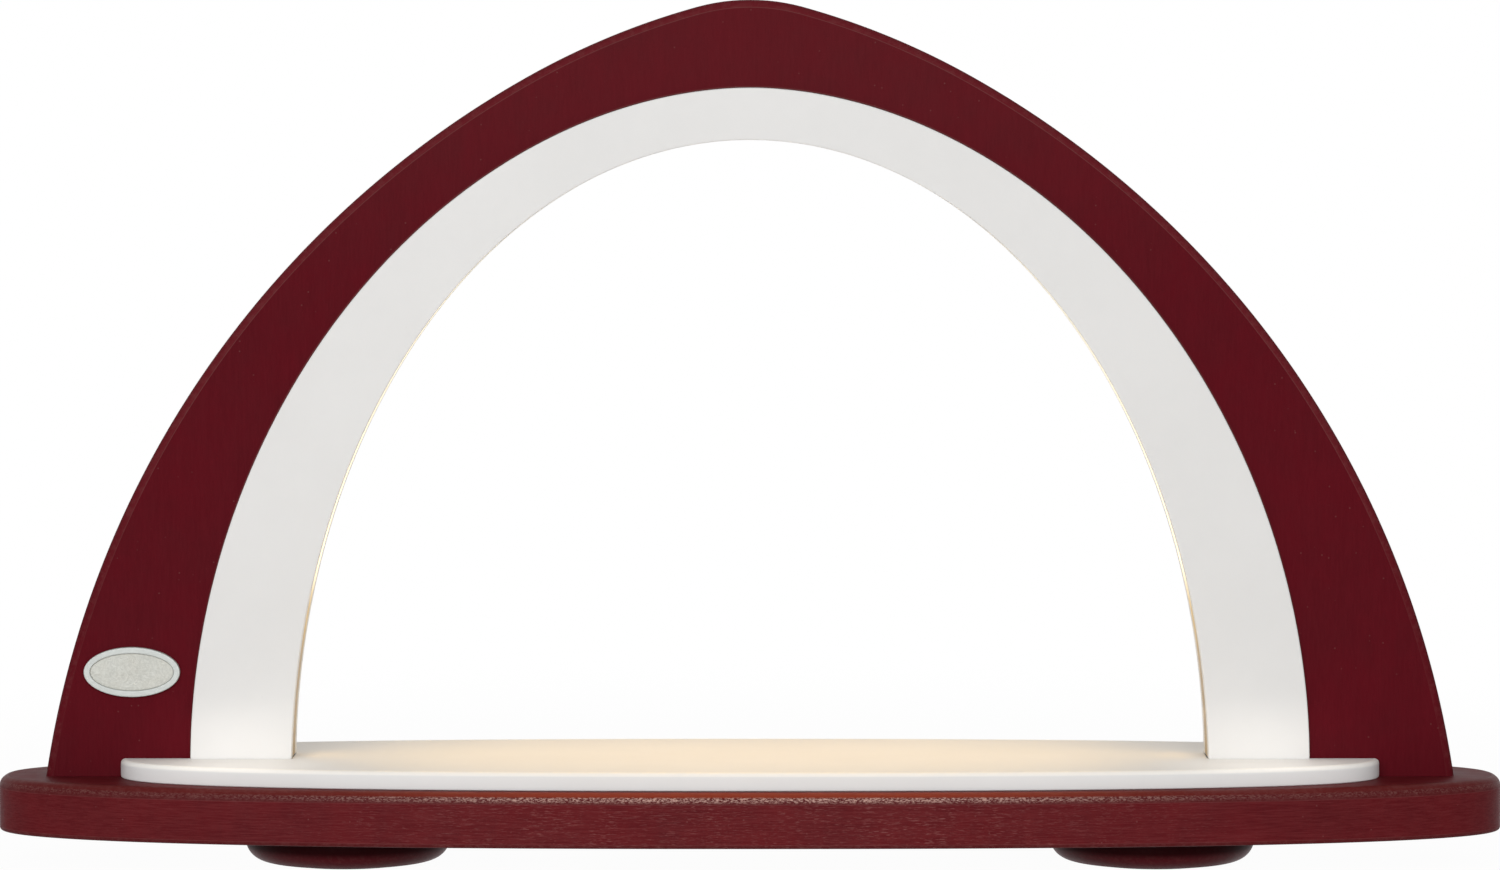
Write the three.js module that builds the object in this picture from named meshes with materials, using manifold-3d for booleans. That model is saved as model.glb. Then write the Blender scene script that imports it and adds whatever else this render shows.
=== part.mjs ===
// LED candle arch: a stained pointed arch with a lacquered arch nested in it, whose inner edge is lit.
// The legs stand on a base board, clasped by a slotted platform, and the board stands on two round feet.
// Millimetres, +Z up, front towards -Y. The origin is on the table, under the middle of the object.

import * as THREE from 'three';
import { mergeVertices } from 'three/addons/utils/BufferGeometryUtils.js';
import Module from 'manifold-3d';

const wasm = await Module();
wasm.setup();

// Clearances
const FIT = 0.3; // round a piece in its hole, slot, groove or rebate
const CUT_OVERRUN = 5; // how far a cutter runs past the face that it opens
const MERGE_DISTANCE = 1e-4; // vertices closer than this are one

// Arches, seen from the front, with heights above the base board
const ARCH_SPAN = 488.4;
const ARCH_HEIGHT = 268.5;
const APEX_RADIUS = 69;
const APEX_REACH = 18.4; // from the middle to where the shoulder's arc takes over
const SHOULDER_RADIUS = 262;
const SHOULDER_REACH = 76.3; // from the middle to where the flank's arc takes over
const OUTER_FOOT_WIDTH = 50.4;
const OUTER_CROWN_WIDTH = 30.2;
const SEAM_STRAIGHT = 5.5;
const SEAM_EXPONENT = 1.92;
const INNER_FOOT_WIDTH = 35;
const INNER_CROWN_WIDTH = 18;
const OUTER_ARCH_THICKNESS = 18;
const INNER_ARCH_THICKNESS = 22;
const OUTER_ARCH_ROUND = 2.4;
const INNER_ARCH_ROUND = 0.9;

// Base board and platform
const BASE_END_MARGIN = 16.8; // from the arch's foot to the tip of the board
const BASE_DEPTH = 118;
const BASE_THICKNESS = 19;
const BASE_EXPONENT = 2.4;
const BASE_TOP_ROUND = 3;
const BASE_BOTTOM_ROUND = 1.2;
const PLATFORM_PAST_SEAM = 24.5; // how far the prongs reach past the seam between the arches
const PLATFORM_SETBACK = 6; // from the front of the base to the front of the platform
const PLATFORM_THICKNESS = 6.3;
const PLATFORM_END_EXPONENT = 2.3;
const PLATFORM_SIDE_EXPONENT = 3.3;
const PLATFORM_ROUND = 2.2;

// Light
const GROOVE_WIDTH = 12;
const GROOVE_DEPTH = 7;
const STRIP_WIDTH = 10;
const STRIP_THICKNESS = 1;
const STRIP_FOOT_HEIGHT = 7;
const CHIP_COUNT = 36;
const CHIP_LENGTH = 3.5;
const CHIP_WIDTH = 2.8;
const CHIP_HEIGHT = 0.8;
const DIFFUSER_RECESS = 0.5;
const DIFFUSER_THICKNESS = 2.5;

// Feet and their pads
const FOOT_INSET = 18.8; // from the arch's opening in to the middle of the foot
const FOOT_RADIUS = 35.6;
const FOOT_HEIGHT = 10.7;
const FOOT_ROUND = 7.5;
const FOOT_TOP_ROUND = 1;
const PAD_RADIUS = 24;
const PAD_THICKNESS = 2;
const PAD_PROUD = 0.8;

// Badge
const BADGE_WIDTH = 33.3;
const BADGE_HEIGHT = 17.3;
const BADGE_THICKNESS = 2;
const BADGE_ROUND = 0.6;
const BADGE_RIM = 1.6;
const BADGE_FIELD_DEPTH = 0.7;
const BADGE_CENTRE_HEIGHT = 36.4;

// Screws and dowels
const ARCH_SCREW = {
  radius: 2.2,
  length: 42,
  point: 4.4,
  headRadius: 4.2,
  headHeight: 2.6,
  recessReach: 2.5,
  recessWidth: 1.2,
  recessDepth: 1.3,
};
const FOOT_SCREW = {
  radius: 2,
  length: 20,
  point: 4,
  headRadius: 3.8,
  headHeight: 2.4,
  recessReach: 2.3,
  recessWidth: 1.1,
  recessDepth: 1.2,
};
const COVER_SCREW = {
  radius: 1.3,
  length: 9,
  point: 2.6,
  headRadius: 2.6,
  headHeight: 1.5,
  recessReach: 1.6,
  recessWidth: 0.8,
  recessDepth: 0.8,
};
const HEAD_RIM = 0.3;
const DOWEL_RADIUS = 3;
const DOWEL_IN_BASE = 8;
const DOWEL_IN_PLATFORM = 4;
const DOWEL_SPACING = 200;

// Wiring under the base board
const CHANNEL_WIDTH = 8;
const CHANNEL_DEPTH = 6;
const CHANNEL_OFFSET = 20; // from the middle of the board to the middle of the long channel
const POCKET_WIDTH = 17;
const POCKET_LENGTH = 18;
const POCKET_DEPTH = 15.2;
const REAR_WALL = 9; // between the pocket and the rear edge of the board
const COVER_THICKNESS = 2;
const COVER_LEDGE = 6; // how far the cover laps over each side of what it closes
const COVER_LAP = 14; // how far its end runs in over the foot
const LEAD_RADIUS = 0.7;
const LEAD_PITCH = 2;
const LEAD_BEND = 3.4;
const BEND_SHARE = 0.45; // the most of a run between two corners that one bend takes
const LEAD_BORE_RADIUS = 2.9;
const PAD_PITCH = 4.8; // between the two solder pads

// Socket in the rear edge
const SOCKET_THREAD_RADIUS = 4;
const SOCKET_THREAD_LENGTH = 15; // from the flange's face to the inner end
const SOCKET_FLANGE_RADIUS = 5.9;
const SOCKET_FLANGE_THICKNESS = 1.6;
const SOCKET_BORE_RADIUS = 2.9;
const SOCKET_BORE_DEPTH = 9.5;
const SOCKET_PIN_RADIUS = 1;
const SOCKET_PIN_RECESS = 1.4;
const SOCKET_TAIL = 3;
const NUT_ACROSS_FLATS = 11;
const NUT_THICKNESS = 2.5;

// Fineness of the curves
const ARCH_STEPS = 48;
const FLANK_STEPS = 20;
const SHOULDER_STEPS = 5;
const APEX_STEPS = 3;
const PLAN_STEPS = 64;
const ROUND_STEPS = 2;
const TURNED_STEPS = 32;
const SMALL_STEPS = 12;
const LEAD_STEPS = 56;
const LEAD_SIDES = 6;

// Places worked out from the sizes
const seam = {
  halfSpan: ARCH_SPAN / 2 - OUTER_FOOT_WIDTH,
  rise: ARCH_HEIGHT - OUTER_CROWN_WIDTH,
  straight: SEAM_STRAIGHT,
  exponent: SEAM_EXPONENT,
};
const opening = {
  halfSpan: seam.halfSpan - INNER_FOOT_WIDTH,
  rise: seam.rise - INNER_CROWN_WIDTH,
  straight: 0,
  exponent: 2,
};
const baseHalfLength = ARCH_SPAN / 2 + BASE_END_MARGIN;
const baseRear = BASE_DEPTH / 2;
const basePlan = {
  halfLength: baseHalfLength,
  halfDepth: baseRear,
  endExponent: BASE_EXPONENT,
  sideExponent: BASE_EXPONENT,
};
const platformPlan = {
  halfLength: seam.halfSpan + PLATFORM_PAST_SEAM,
  halfDepth: baseRear - PLATFORM_SETBACK,
  endExponent: PLATFORM_END_EXPONENT,
  sideExponent: PLATFORM_SIDE_EXPONENT,
};
const outerScrewX = seam.halfSpan + OUTER_FOOT_WIDTH / 2;
const innerScrewX = (opening.halfSpan + GROOVE_DEPTH + seam.halfSpan) / 2;
const stripFace = GROOVE_DEPTH - FIT - STRIP_THICKNESS; // from the opening's edge out to the strip
const leadBoreX = -(opening.halfSpan + GROOVE_DEPTH - LEAD_BORE_RADIUS);
const footX = opening.halfSpan - FOOT_INSET;
const channelZ = COVER_THICKNESS + (CHANNEL_DEPTH - COVER_THICKNESS) / 2;
const socketZ = BASE_THICKNESS / 2;
const pocketRear = baseRear - REAR_WALL;
const pocketFront = pocketRear - POCKET_LENGTH;
const coverStart = -(footX - FOOT_RADIUS) - COVER_LAP;
const coverHalfWidth = CHANNEL_WIDTH / 2 + COVER_LEDGE;
const coverPocketHalfWidth = POCKET_WIDTH / 2 + COVER_LEDGE;
const coverRear = pocketRear + COVER_LEDGE / 2;
const coverScrewPlaces = [
  [coverStart + FOOT_RADIUS, CHANNEL_OFFSET - CHANNEL_WIDTH / 2 - COVER_LEDGE / 2],
  [-coverPocketHalfWidth - COVER_LEDGE, CHANNEL_OFFSET - CHANNEL_WIDTH / 2 - COVER_LEDGE / 2],
  [-POCKET_WIDTH / 2 - COVER_LEDGE / 2, pocketRear - POCKET_LENGTH / 2],
  [POCKET_WIDTH / 2 + COVER_LEDGE / 2, pocketRear - POCKET_LENGTH / 2],
];

// Curves

// One arch line from foot to foot: a superellipse above a short straight foot.
class NestedArchCurve extends THREE.Curve {
  constructor(size, offset) {
    super();
    this.size = size;
    this.offset = offset;
  }

  getPoint(t, target = new THREE.Vector2()) {
    const { halfSpan, rise, straight, exponent } = this.size;
    const height = rise - straight;
    const angle = Math.PI * t;
    const across = Math.abs(Math.cos(angle)) ** (2 / exponent);
    const up = Math.abs(Math.sin(angle)) ** (2 / exponent);
    const normal = new THREE.Vector2(across ** (exponent - 1) / halfSpan, up ** (exponent - 1) / height);
    normal.normalize();
    const x = halfSpan * across + this.offset * normal.x;
    const z = straight + height * up + this.offset * normal.y;
    return target.set(Math.sign(Math.cos(angle)) * x, z);
  }
}

// The plan of a board: a superellipse with its own fullness at the ends and along the sides.
class BoardCurve extends THREE.Curve {
  constructor(size) {
    super();
    this.size = size;
  }

  getPoint(t, target = new THREE.Vector2()) {
    const { halfLength, halfDepth, endExponent, sideExponent } = this.size;
    const angle = 2 * Math.PI * t;
    const c = Math.cos(angle);
    const s = Math.sin(angle);
    const x = halfLength * Math.sign(c) * Math.abs(c) ** (2 / endExponent);
    const y = halfDepth * Math.sign(s) * Math.abs(s) ** (2 / sideExponent);
    return target.set(x, y);
  }
}

// Points of a nested arch line, moved out by an offset and run down past the feet.
function nestedArchPoints(size, offset = 0) {
  const points = new NestedArchCurve(size, offset).getSpacedPoints(ARCH_STEPS);
  const halfSpan = size.halfSpan + offset;
  return [
    new THREE.Vector2(halfSpan, -CUT_OVERRUN),
    ...points,
    new THREE.Vector2(-halfSpan, -CUT_OVERRUN),
  ];
}

// An arc of the pointed outline, and the point that it reaches at an angle.
class OutlineArc {
  constructor(centre, radius, end) {
    this.centre = centre;
    this.radius = radius;
    this.end = end;
  }

  at(angle) {
    return new THREE.Vector2(Math.cos(angle), Math.sin(angle)).multiplyScalar(this.radius).add(this.centre);
  }

  // Centre of another circle that touches this one at an angle, on the same side.
  centreOfNext(angle, radius) {
    return this.at(angle).sub(new THREE.Vector2(Math.cos(angle), Math.sin(angle)).multiplyScalar(radius));
  }

  points(from, to, steps) {
    const { x, y } = this.centre;
    return new THREE.EllipseCurve(x, y, this.radius, this.radius, from, to).getPoints(steps);
  }
}

// The right half of the pointed outline: an apex, a shoulder and a flank that passes the foot, each
// running smoothly into the next. An arc's end is the angle where the one below it takes over.
function pointedArcs() {
  const apexCentre = new THREE.Vector2(0, ARCH_HEIGHT - APEX_RADIUS);
  const apex = new OutlineArc(apexCentre, APEX_RADIUS, Math.acos(APEX_REACH / APEX_RADIUS));
  const shoulderCentre = apex.centreOfNext(apex.end, SHOULDER_RADIUS);
  const shoulderEnd = Math.acos((SHOULDER_REACH - shoulderCentre.x) / SHOULDER_RADIUS);
  const shoulder = new OutlineArc(shoulderCentre, SHOULDER_RADIUS, shoulderEnd);
  const chord = shoulder.at(shoulderEnd).sub(new THREE.Vector2(ARCH_SPAN / 2, 0));
  const outward = new THREE.Vector2(Math.cos(shoulderEnd), Math.sin(shoulderEnd));
  const flankRadius = chord.lengthSq() / (2 * outward.dot(chord));
  const flankCentre = shoulder.centreOfNext(shoulderEnd, flankRadius);
  const flankEnd = Math.asin((-CUT_OVERRUN - flankCentre.y) / flankRadius);
  return { apex, shoulder, flank: new OutlineArc(flankCentre, flankRadius, flankEnd) };
}

// Points of the pointed outline, from below the right foot, over the apex, to below the left foot.
function pointedArchPoints() {
  const { apex, shoulder, flank } = pointedArcs();
  const right = [
    ...flank.points(flank.end, shoulder.end, FLANK_STEPS),
    ...shoulder.points(shoulder.end, apex.end, SHOULDER_STEPS).slice(1),
    ...apex.points(apex.end, Math.PI / 2, APEX_STEPS).slice(1),
  ];
  const left = right.slice(0, -1).reverse().map((p) => new THREE.Vector2(-p.x, p.y));
  return [...right, ...left];
}

// Half width of the pointed outline at a height on its flank.
function outerHalfWidth(height) {
  const { centre, radius } = pointedArcs().flank;
  return centre.x + Math.sqrt(radius ** 2 - (height - centre.y) ** 2);
}

// Half width of the seam at a height.
function seamHalfWidth(height) {
  const share = Math.max(height - seam.straight, 0) / (seam.rise - seam.straight);
  return seam.halfSpan * (1 - share ** seam.exponent) ** (1 / seam.exponent);
}

// Solids

// A closed mesh as a solid for joining and cutting.
function toSolid(geometry) {
  const bare = new THREE.BufferGeometry();
  bare.setAttribute('position', geometry.getAttribute('position'));
  bare.setIndex(geometry.getIndex());
  const merged = mergeVertices(bare, MERGE_DISTANCE);
  const index = merged.getIndex().array;
  const triangles = [];
  for (let i = 0; i < index.length; i += 3) {
    const [a, b, c] = [index[i], index[i + 1], index[i + 2]];
    if (a !== b && b !== c && c !== a) {
      triangles.push(a, b, c);
    }
  }
  return new wasm.Manifold(new wasm.Mesh({
    numProp: 3,
    vertProperties: new Float32Array(merged.getAttribute('position').array),
    triVerts: new Uint32Array(triangles),
  }));
}

function toGeometry(solid) {
  const mesh = solid.getMesh();
  const geometry = new THREE.BufferGeometry();
  geometry.setAttribute('position', new THREE.BufferAttribute(mesh.vertProperties, 3));
  geometry.setIndex(new THREE.BufferAttribute(mesh.triVerts, 1));
  return geometry;
}

// A piece with each of the cutters taken out of it.
function cut(piece, cutters) {
  return toGeometry(cutters.reduce((solid, cutter) => solid.subtract(toSolid(cutter)), toSolid(piece)));
}

function join(pieces) {
  return toGeometry(pieces.map(toSolid).reduce((solid, other) => solid.add(other)));
}

function common(a, b) {
  return toGeometry(toSolid(a).intersect(toSolid(b)));
}

// A plate lying flat with its lower face at z = 0, and both its edges rounded if asked.
function flatPlate(points, thickness, round = 0) {
  const geometry = new THREE.ExtrudeGeometry(new THREE.Shape(points), {
    depth: thickness - 2 * round,
    bevelEnabled: round > 0,
    bevelThickness: round,
    bevelSize: round,
    bevelOffset: -round,
    bevelSegments: ROUND_STEPS,
  });
  return geometry.translate(0, 0, round);
}

// The same plate stood upright, with its middle plane at y = 0.
function uprightPlate(points, thickness, round = 0) {
  return flatPlate(points, thickness, round).translate(0, 0, -thickness / 2).rotateX(Math.PI / 2);
}

function box(minimum, maximum) {
  const size = maximum.map((value, i) => value - minimum[i]);
  const middle = maximum.map((value, i) => (value + minimum[i]) / 2);
  return new THREE.BoxGeometry(...size).translate(...middle);
}

// Everything below a level, wide enough for any piece of the object.
function below(level) {
  const reach = ARCH_SPAN + BASE_DEPTH;
  return box([-reach, -reach, level - reach], [reach, reach, level]);
}

// A body turned about Z from points of radius and height.
function turned(points, steps = SMALL_STEPS) {
  return new THREE.LatheGeometry(points.map(([r, z]) => new THREE.Vector2(r, z)), steps).rotateX(Math.PI / 2);
}

// A band that follows the opening's edge, between two distances out from it.
function bandAlongOpening(near, far, width) {
  const outline = [...nestedArchPoints(opening, far), ...nestedArchPoints(opening, near).reverse()];
  return uprightPlate(outline, width);
}

// A screw with its head's face at z = 0 and a cross recess in it, pointing up.
function countersunkScrew(size) {
  const body = turned([
    [0, 0],
    [size.headRadius, 0],
    [size.headRadius, HEAD_RIM],
    [size.radius, size.headHeight],
    [size.radius, size.length - size.point],
    [0, size.length],
  ]);
  const reach = size.recessReach;
  const half = size.recessWidth / 2;
  return cut(body, [
    box([-reach, -half, -CUT_OVERRUN], [reach, half, size.recessDepth]),
    box([-half, -reach, -CUT_OVERRUN], [half, reach, size.recessDepth]),
  ]);
}

// The hole for such a screw, open below its head.
function screwHole({ radius, length, headRadius, headHeight }) {
  return turned([
    [0, -CUT_OVERRUN],
    [headRadius + FIT, -CUT_OVERRUN],
    [headRadius + FIT, HEAD_RIM],
    [radius + FIT, headHeight],
    [radius + FIT, length + FIT],
    [0, length + FIT],
  ]);
}

// A round hole from one height to another.
function roundHole(radius, from, to) {
  return turned([[0, from], [radius, from], [radius, to], [0, to]]);
}

// Pieces. The base board's frame has z = 0 at its underside, the arches' frame at its top.

function baseBoard() {
  const outline = new BoardCurve(basePlan).getPoints(PLAN_STEPS).slice(0, -1);
  const roundTop = flatPlate(outline, BASE_THICKNESS + 2 * BASE_TOP_ROUND, BASE_TOP_ROUND);
  roundTop.translate(0, 0, -2 * BASE_TOP_ROUND);
  const roundBottom = flatPlate(outline, BASE_THICKNESS + 2 * BASE_BOTTOM_ROUND, BASE_BOTTOM_ROUND);
  const board = common(roundTop, roundBottom);
  const dowelFloor = BASE_THICKNESS - DOWEL_IN_BASE - FIT;
  const dowelHoles = [-1, 1].map((side) => (
    roundHole(DOWEL_RADIUS + FIT, dowelFloor, BASE_THICKNESS + CUT_OVERRUN)
      .translate((side * DOWEL_SPACING) / 2, 0, 0)
  ));
  const archScrewHoles = [-1, 1].flatMap((side) => [outerScrewX, innerScrewX].map((x) => (
    screwHole(ARCH_SCREW).translate(side * x, 0, 0)
  )));
  const footPilots = [-1, 1].map((side) => (
    screwHole(FOOT_SCREW).translate(side * footX, 0, footScrewZ() - FOOT_HEIGHT)
  ));
  const coverPilots = coverScrewPlaces.map(([x, y]) => screwHole(COVER_SCREW).translate(x, y, 0));
  return cut(board, [
    ...dowelHoles,
    ...archScrewHoles,
    ...footPilots,
    ...coverPilots,
    ...wiringCutters(),
    coverOutline(FIT),
  ]);
}

// The channel, the socket's pocket and bore, and the bore that leads up to the strip.
function wiringCutters() {
  const half = CHANNEL_WIDTH / 2;
  const pocketHalf = POCKET_WIDTH / 2;
  return [
    box([leadBoreX - half, -half, -CUT_OVERRUN], [leadBoreX + half, CHANNEL_OFFSET + half, CHANNEL_DEPTH]),
    box(
      [leadBoreX - half, CHANNEL_OFFSET - half, -CUT_OVERRUN],
      [half, CHANNEL_OFFSET + half, CHANNEL_DEPTH],
    ),
    box([-half, CHANNEL_OFFSET, -CUT_OVERRUN], [half, pocketFront + half, CHANNEL_DEPTH]),
    box([-pocketHalf, pocketFront, -CUT_OVERRUN], [pocketHalf, pocketRear, POCKET_DEPTH]),
    roundHole(LEAD_BORE_RADIUS, 0, BASE_THICKNESS + CUT_OVERRUN).translate(leadBoreX, 0, 0),
    alongRear(roundHole(SOCKET_THREAD_RADIUS + FIT, -REAR_WALL - CUT_OVERRUN, CUT_OVERRUN))
      .translate(0, baseRear, socketZ),
    alongRear(roundHole(SOCKET_FLANGE_RADIUS + FIT, -SOCKET_FLANGE_THICKNESS - FIT, CUT_OVERRUN))
      .translate(0, baseRear, socketZ),
  ];
}

// The cover plate's solid, grown by a clearance for the rebate that it lies in.
function coverOutline(grow) {
  const points = [
    [coverStart - grow, CHANNEL_OFFSET - coverHalfWidth - grow],
    [coverPocketHalfWidth + grow, CHANNEL_OFFSET - coverHalfWidth - grow],
    [coverPocketHalfWidth + grow, coverRear + grow],
    [-coverPocketHalfWidth - grow, coverRear + grow],
    [-coverPocketHalfWidth - grow, CHANNEL_OFFSET + coverHalfWidth + grow],
    [coverStart - grow, CHANNEL_OFFSET + coverHalfWidth + grow],
  ].map(([x, y]) => new THREE.Vector2(x, y));
  const overrun = grow > 0 ? CUT_OVERRUN : 0;
  return flatPlate(points, COVER_THICKNESS + overrun).translate(0, 0, -overrun);
}

function channelCover() {
  return cut(coverOutline(0), coverScrewPlaces.map(([x, y]) => screwHole(COVER_SCREW).translate(x, y, 0)));
}

function platformBoard() {
  const outline = new BoardCurve(platformPlan).getPoints(PLAN_STEPS).slice(0, -1);
  const board = flatPlate(outline, PLATFORM_THICKNESS + 2 * PLATFORM_ROUND, PLATFORM_ROUND)
    .translate(0, 0, -2 * PLATFORM_ROUND);
  const dowelHoles = [-1, 1].map((side) => (
    roundHole(DOWEL_RADIUS + FIT, -CUT_OVERRUN, DOWEL_IN_PLATFORM + FIT)
      .translate((side * DOWEL_SPACING) / 2, 0, 0)
  ));
  return cut(board, [below(0), ...legSlots(), ...dowelHoles]);
}

// The open slots in the platform's ends, stepped where the thinner arch begins.
function legSlots() {
  const innerHalf = INNER_ARCH_THICKNESS / 2 + FIT;
  const outerHalf = OUTER_ARCH_THICKNESS / 2 + FIT;
  const end = platformPlan.halfLength + CUT_OVERRUN;
  const top = PLATFORM_THICKNESS + CUT_OVERRUN;
  return [-1, 1].flatMap((side) => [
    slotBox(side, opening.halfSpan - FIT, seam.halfSpan, innerHalf, top),
    slotBox(side, seam.halfSpan - CUT_OVERRUN, end, outerHalf, top),
  ]);
}

function slotBox(side, near, far, half, top) {
  const [left, right] = side < 0 ? [-far, -near] : [near, far];
  return box([left, -half, -CUT_OVERRUN], [right, half, top]);
}

// Pilot holes in both legs for the screws that come up through the base board.
function legPilots(x) {
  return [-1, 1].map((side) => screwHole(ARCH_SCREW).translate(side * x, 0, -BASE_THICKNESS));
}

function outerArch() {
  const whole = uprightPlate(pointedArchPoints(), OUTER_ARCH_THICKNESS, OUTER_ARCH_ROUND);
  const nest = uprightPlate(nestedArchPoints(seam), OUTER_ARCH_THICKNESS + 2 * CUT_OVERRUN);
  return cut(whole, [nest, below(0), ...legPilots(outerScrewX)]);
}

function innerArch() {
  const outline = [...nestedArchPoints(seam, -FIT), ...nestedArchPoints(opening).reverse()];
  const whole = uprightPlate(outline, INNER_ARCH_THICKNESS, INNER_ARCH_ROUND);
  const groove = bandAlongOpening(-CUT_OVERRUN, GROOVE_DEPTH, GROOVE_WIDTH);
  return cut(whole, [groove, below(0), ...legPilots(innerScrewX)]);
}

// The flexible strip with its row of chips, from one foot of the groove to the other.
function ledStrip() {
  const band = bandAlongOpening(stripFace, stripFace + STRIP_THICKNESS, STRIP_WIDTH);
  const line = new NestedArchCurve(opening, stripFace - CHIP_HEIGHT / 2);
  const chips = [];
  for (let i = 1; i <= CHIP_COUNT; i += 1) {
    const t = i / (CHIP_COUNT + 1);
    const place = line.getPointAt(t);
    const along = line.getTangentAt(t);
    const chip = new THREE.BoxGeometry(CHIP_LENGTH, CHIP_WIDTH, CHIP_HEIGHT + STRIP_THICKNESS / 2);
    chip.translate(0, 0, -STRIP_THICKNESS / 4);
    chip.rotateY(-Math.atan2(along.y, along.x));
    chips.push(chip.translate(place.x, 0, place.y));
  }
  return cut(join([band, ...chips]), [below(STRIP_FOOT_HEIGHT)]);
}

function ledDiffuser() {
  const far = DIFFUSER_RECESS + DIFFUSER_THICKNESS;
  const band = bandAlongOpening(DIFFUSER_RECESS, far, GROOVE_WIDTH - 2 * FIT);
  return cut(band, [below(PLATFORM_THICKNESS + FIT)]);
}

// An oval plate with a raised rim and a bare field, its back at y = 0.
function badge() {
  const oval = (inset) => new THREE.EllipseCurve(
    0,
    0,
    BADGE_WIDTH / 2 - inset,
    BADGE_HEIGHT / 2 - inset,
  ).getPoints(TURNED_STEPS).slice(0, -1);
  const plate = uprightPlate(oval(0), 2 * BADGE_THICKNESS, BADGE_ROUND);
  const field = uprightPlate(oval(BADGE_RIM), CUT_OVERRUN);
  field.translate(0, -BADGE_THICKNESS + BADGE_FIELD_DEPTH - CUT_OVERRUN / 2, 0);
  const behind = box([-BADGE_WIDTH, 0, -BADGE_WIDTH], [BADGE_WIDTH, BADGE_WIDTH, BADGE_WIDTH]);
  return cut(plate, [field, behind]);
}

// Height of the foot screw's head above the foot's lower face.
function footScrewZ() {
  return PAD_THICKNESS - PAD_PROUD;
}

// A turned foot with a large lower round, a screw hole, and a recess for its pad.
function foot() {
  const hole = FOOT_SCREW.radius + FIT;
  const recess = footScrewZ();
  const points = [
    [hole, recess + FOOT_SCREW.headHeight],
    [FOOT_SCREW.headRadius + FIT, recess + HEAD_RIM],
    [FOOT_SCREW.headRadius + FIT, recess],
    [PAD_RADIUS + FIT, recess],
    [PAD_RADIUS + FIT, 0],
  ];
  const lowerSteps = 2 * ROUND_STEPS;
  for (let i = 0; i <= lowerSteps; i += 1) {
    const angle = (Math.PI / 2) * (i / lowerSteps);
    points.push([
      FOOT_RADIUS - FOOT_ROUND * (1 - Math.sin(angle)),
      FOOT_ROUND * (1 - Math.cos(angle)),
    ]);
  }
  points.push([FOOT_RADIUS, FOOT_HEIGHT - FOOT_TOP_ROUND]);
  points.push([FOOT_RADIUS - FOOT_TOP_ROUND, FOOT_HEIGHT]);
  points.push([hole, FOOT_HEIGHT]);
  points.push(points[0]);
  return turned(points, TURNED_STEPS);
}

function footPad() {
  return roundHole(PAD_RADIUS, 0, PAD_THICKNESS);
}

function dowel() {
  return roundHole(DOWEL_RADIUS, -DOWEL_IN_BASE, DOWEL_IN_PLATFORM);
}

// The socket's parts lie along Y, with y = 0 at the rear edge of the board, where the flange is flush.
function alongRear(geometry) {
  return geometry.rotateX(-Math.PI / 2);
}

function socketBody() {
  const pinHole = SOCKET_PIN_RADIUS + FIT;
  return alongRear(turned([
    [pinHole, -SOCKET_THREAD_LENGTH],
    [SOCKET_THREAD_RADIUS, -SOCKET_THREAD_LENGTH],
    [SOCKET_THREAD_RADIUS, -SOCKET_FLANGE_THICKNESS],
    [SOCKET_FLANGE_RADIUS, -SOCKET_FLANGE_THICKNESS],
    [SOCKET_FLANGE_RADIUS, 0],
    [SOCKET_BORE_RADIUS, 0],
    [SOCKET_BORE_RADIUS, -SOCKET_BORE_DEPTH],
    [pinHole, -SOCKET_BORE_DEPTH],
    [pinHole, -SOCKET_THREAD_LENGTH],
  ], 2 * SMALL_STEPS));
}

function socketPin() {
  return alongRear(turned([
    [0, -SOCKET_THREAD_LENGTH - SOCKET_TAIL],
    [SOCKET_PIN_RADIUS, -SOCKET_THREAD_LENGTH - SOCKET_TAIL],
    [SOCKET_PIN_RADIUS, -SOCKET_PIN_RECESS - SOCKET_PIN_RADIUS],
    [0, -SOCKET_PIN_RECESS],
  ]));
}

function socketNut() {
  const corners = [];
  for (let i = 0; i < 6; i += 1) {
    const angle = (Math.PI / 3) * i;
    const reach = NUT_ACROSS_FLATS / 2 / Math.cos(Math.PI / 6);
    corners.push(new THREE.Vector2(reach * Math.cos(angle), reach * Math.sin(angle)));
  }
  const hexagon = new THREE.Shape(corners);
  const hole = new THREE.EllipseCurve(0, 0, SOCKET_THREAD_RADIUS + FIT, SOCKET_THREAD_RADIUS + FIT);
  hexagon.holes.push(new THREE.Path(hole.getPoints(2 * SMALL_STEPS).slice(0, -1)));
  const nut = new THREE.ExtrudeGeometry(hexagon, { depth: NUT_THICKNESS, bevelEnabled: false });
  return alongRear(nut.translate(0, 0, -REAR_WALL - FIT - NUT_THICKNESS));
}

// A smooth run through corner points, with each corner eased by a bend that fits between its neighbours.
function easedPath(corners, bend) {
  const path = new THREE.CurvePath();
  let from = corners[0];
  for (let i = 1; i < corners.length - 1; i += 1) {
    const back = corners[i - 1].clone().sub(corners[i]);
    const ahead = corners[i + 1].clone().sub(corners[i]);
    const reach = Math.min(bend, BEND_SHARE * back.length(), BEND_SHARE * ahead.length());
    const before = corners[i].clone().add(back.setLength(reach));
    const after = corners[i].clone().add(ahead.setLength(reach));
    path.add(new THREE.LineCurve3(from, before));
    path.add(new THREE.QuadraticBezierCurve3(before, corners[i], after));
    from = after;
  }
  path.add(new THREE.LineCurve3(from, corners[corners.length - 1]));
  return path;
}

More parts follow.
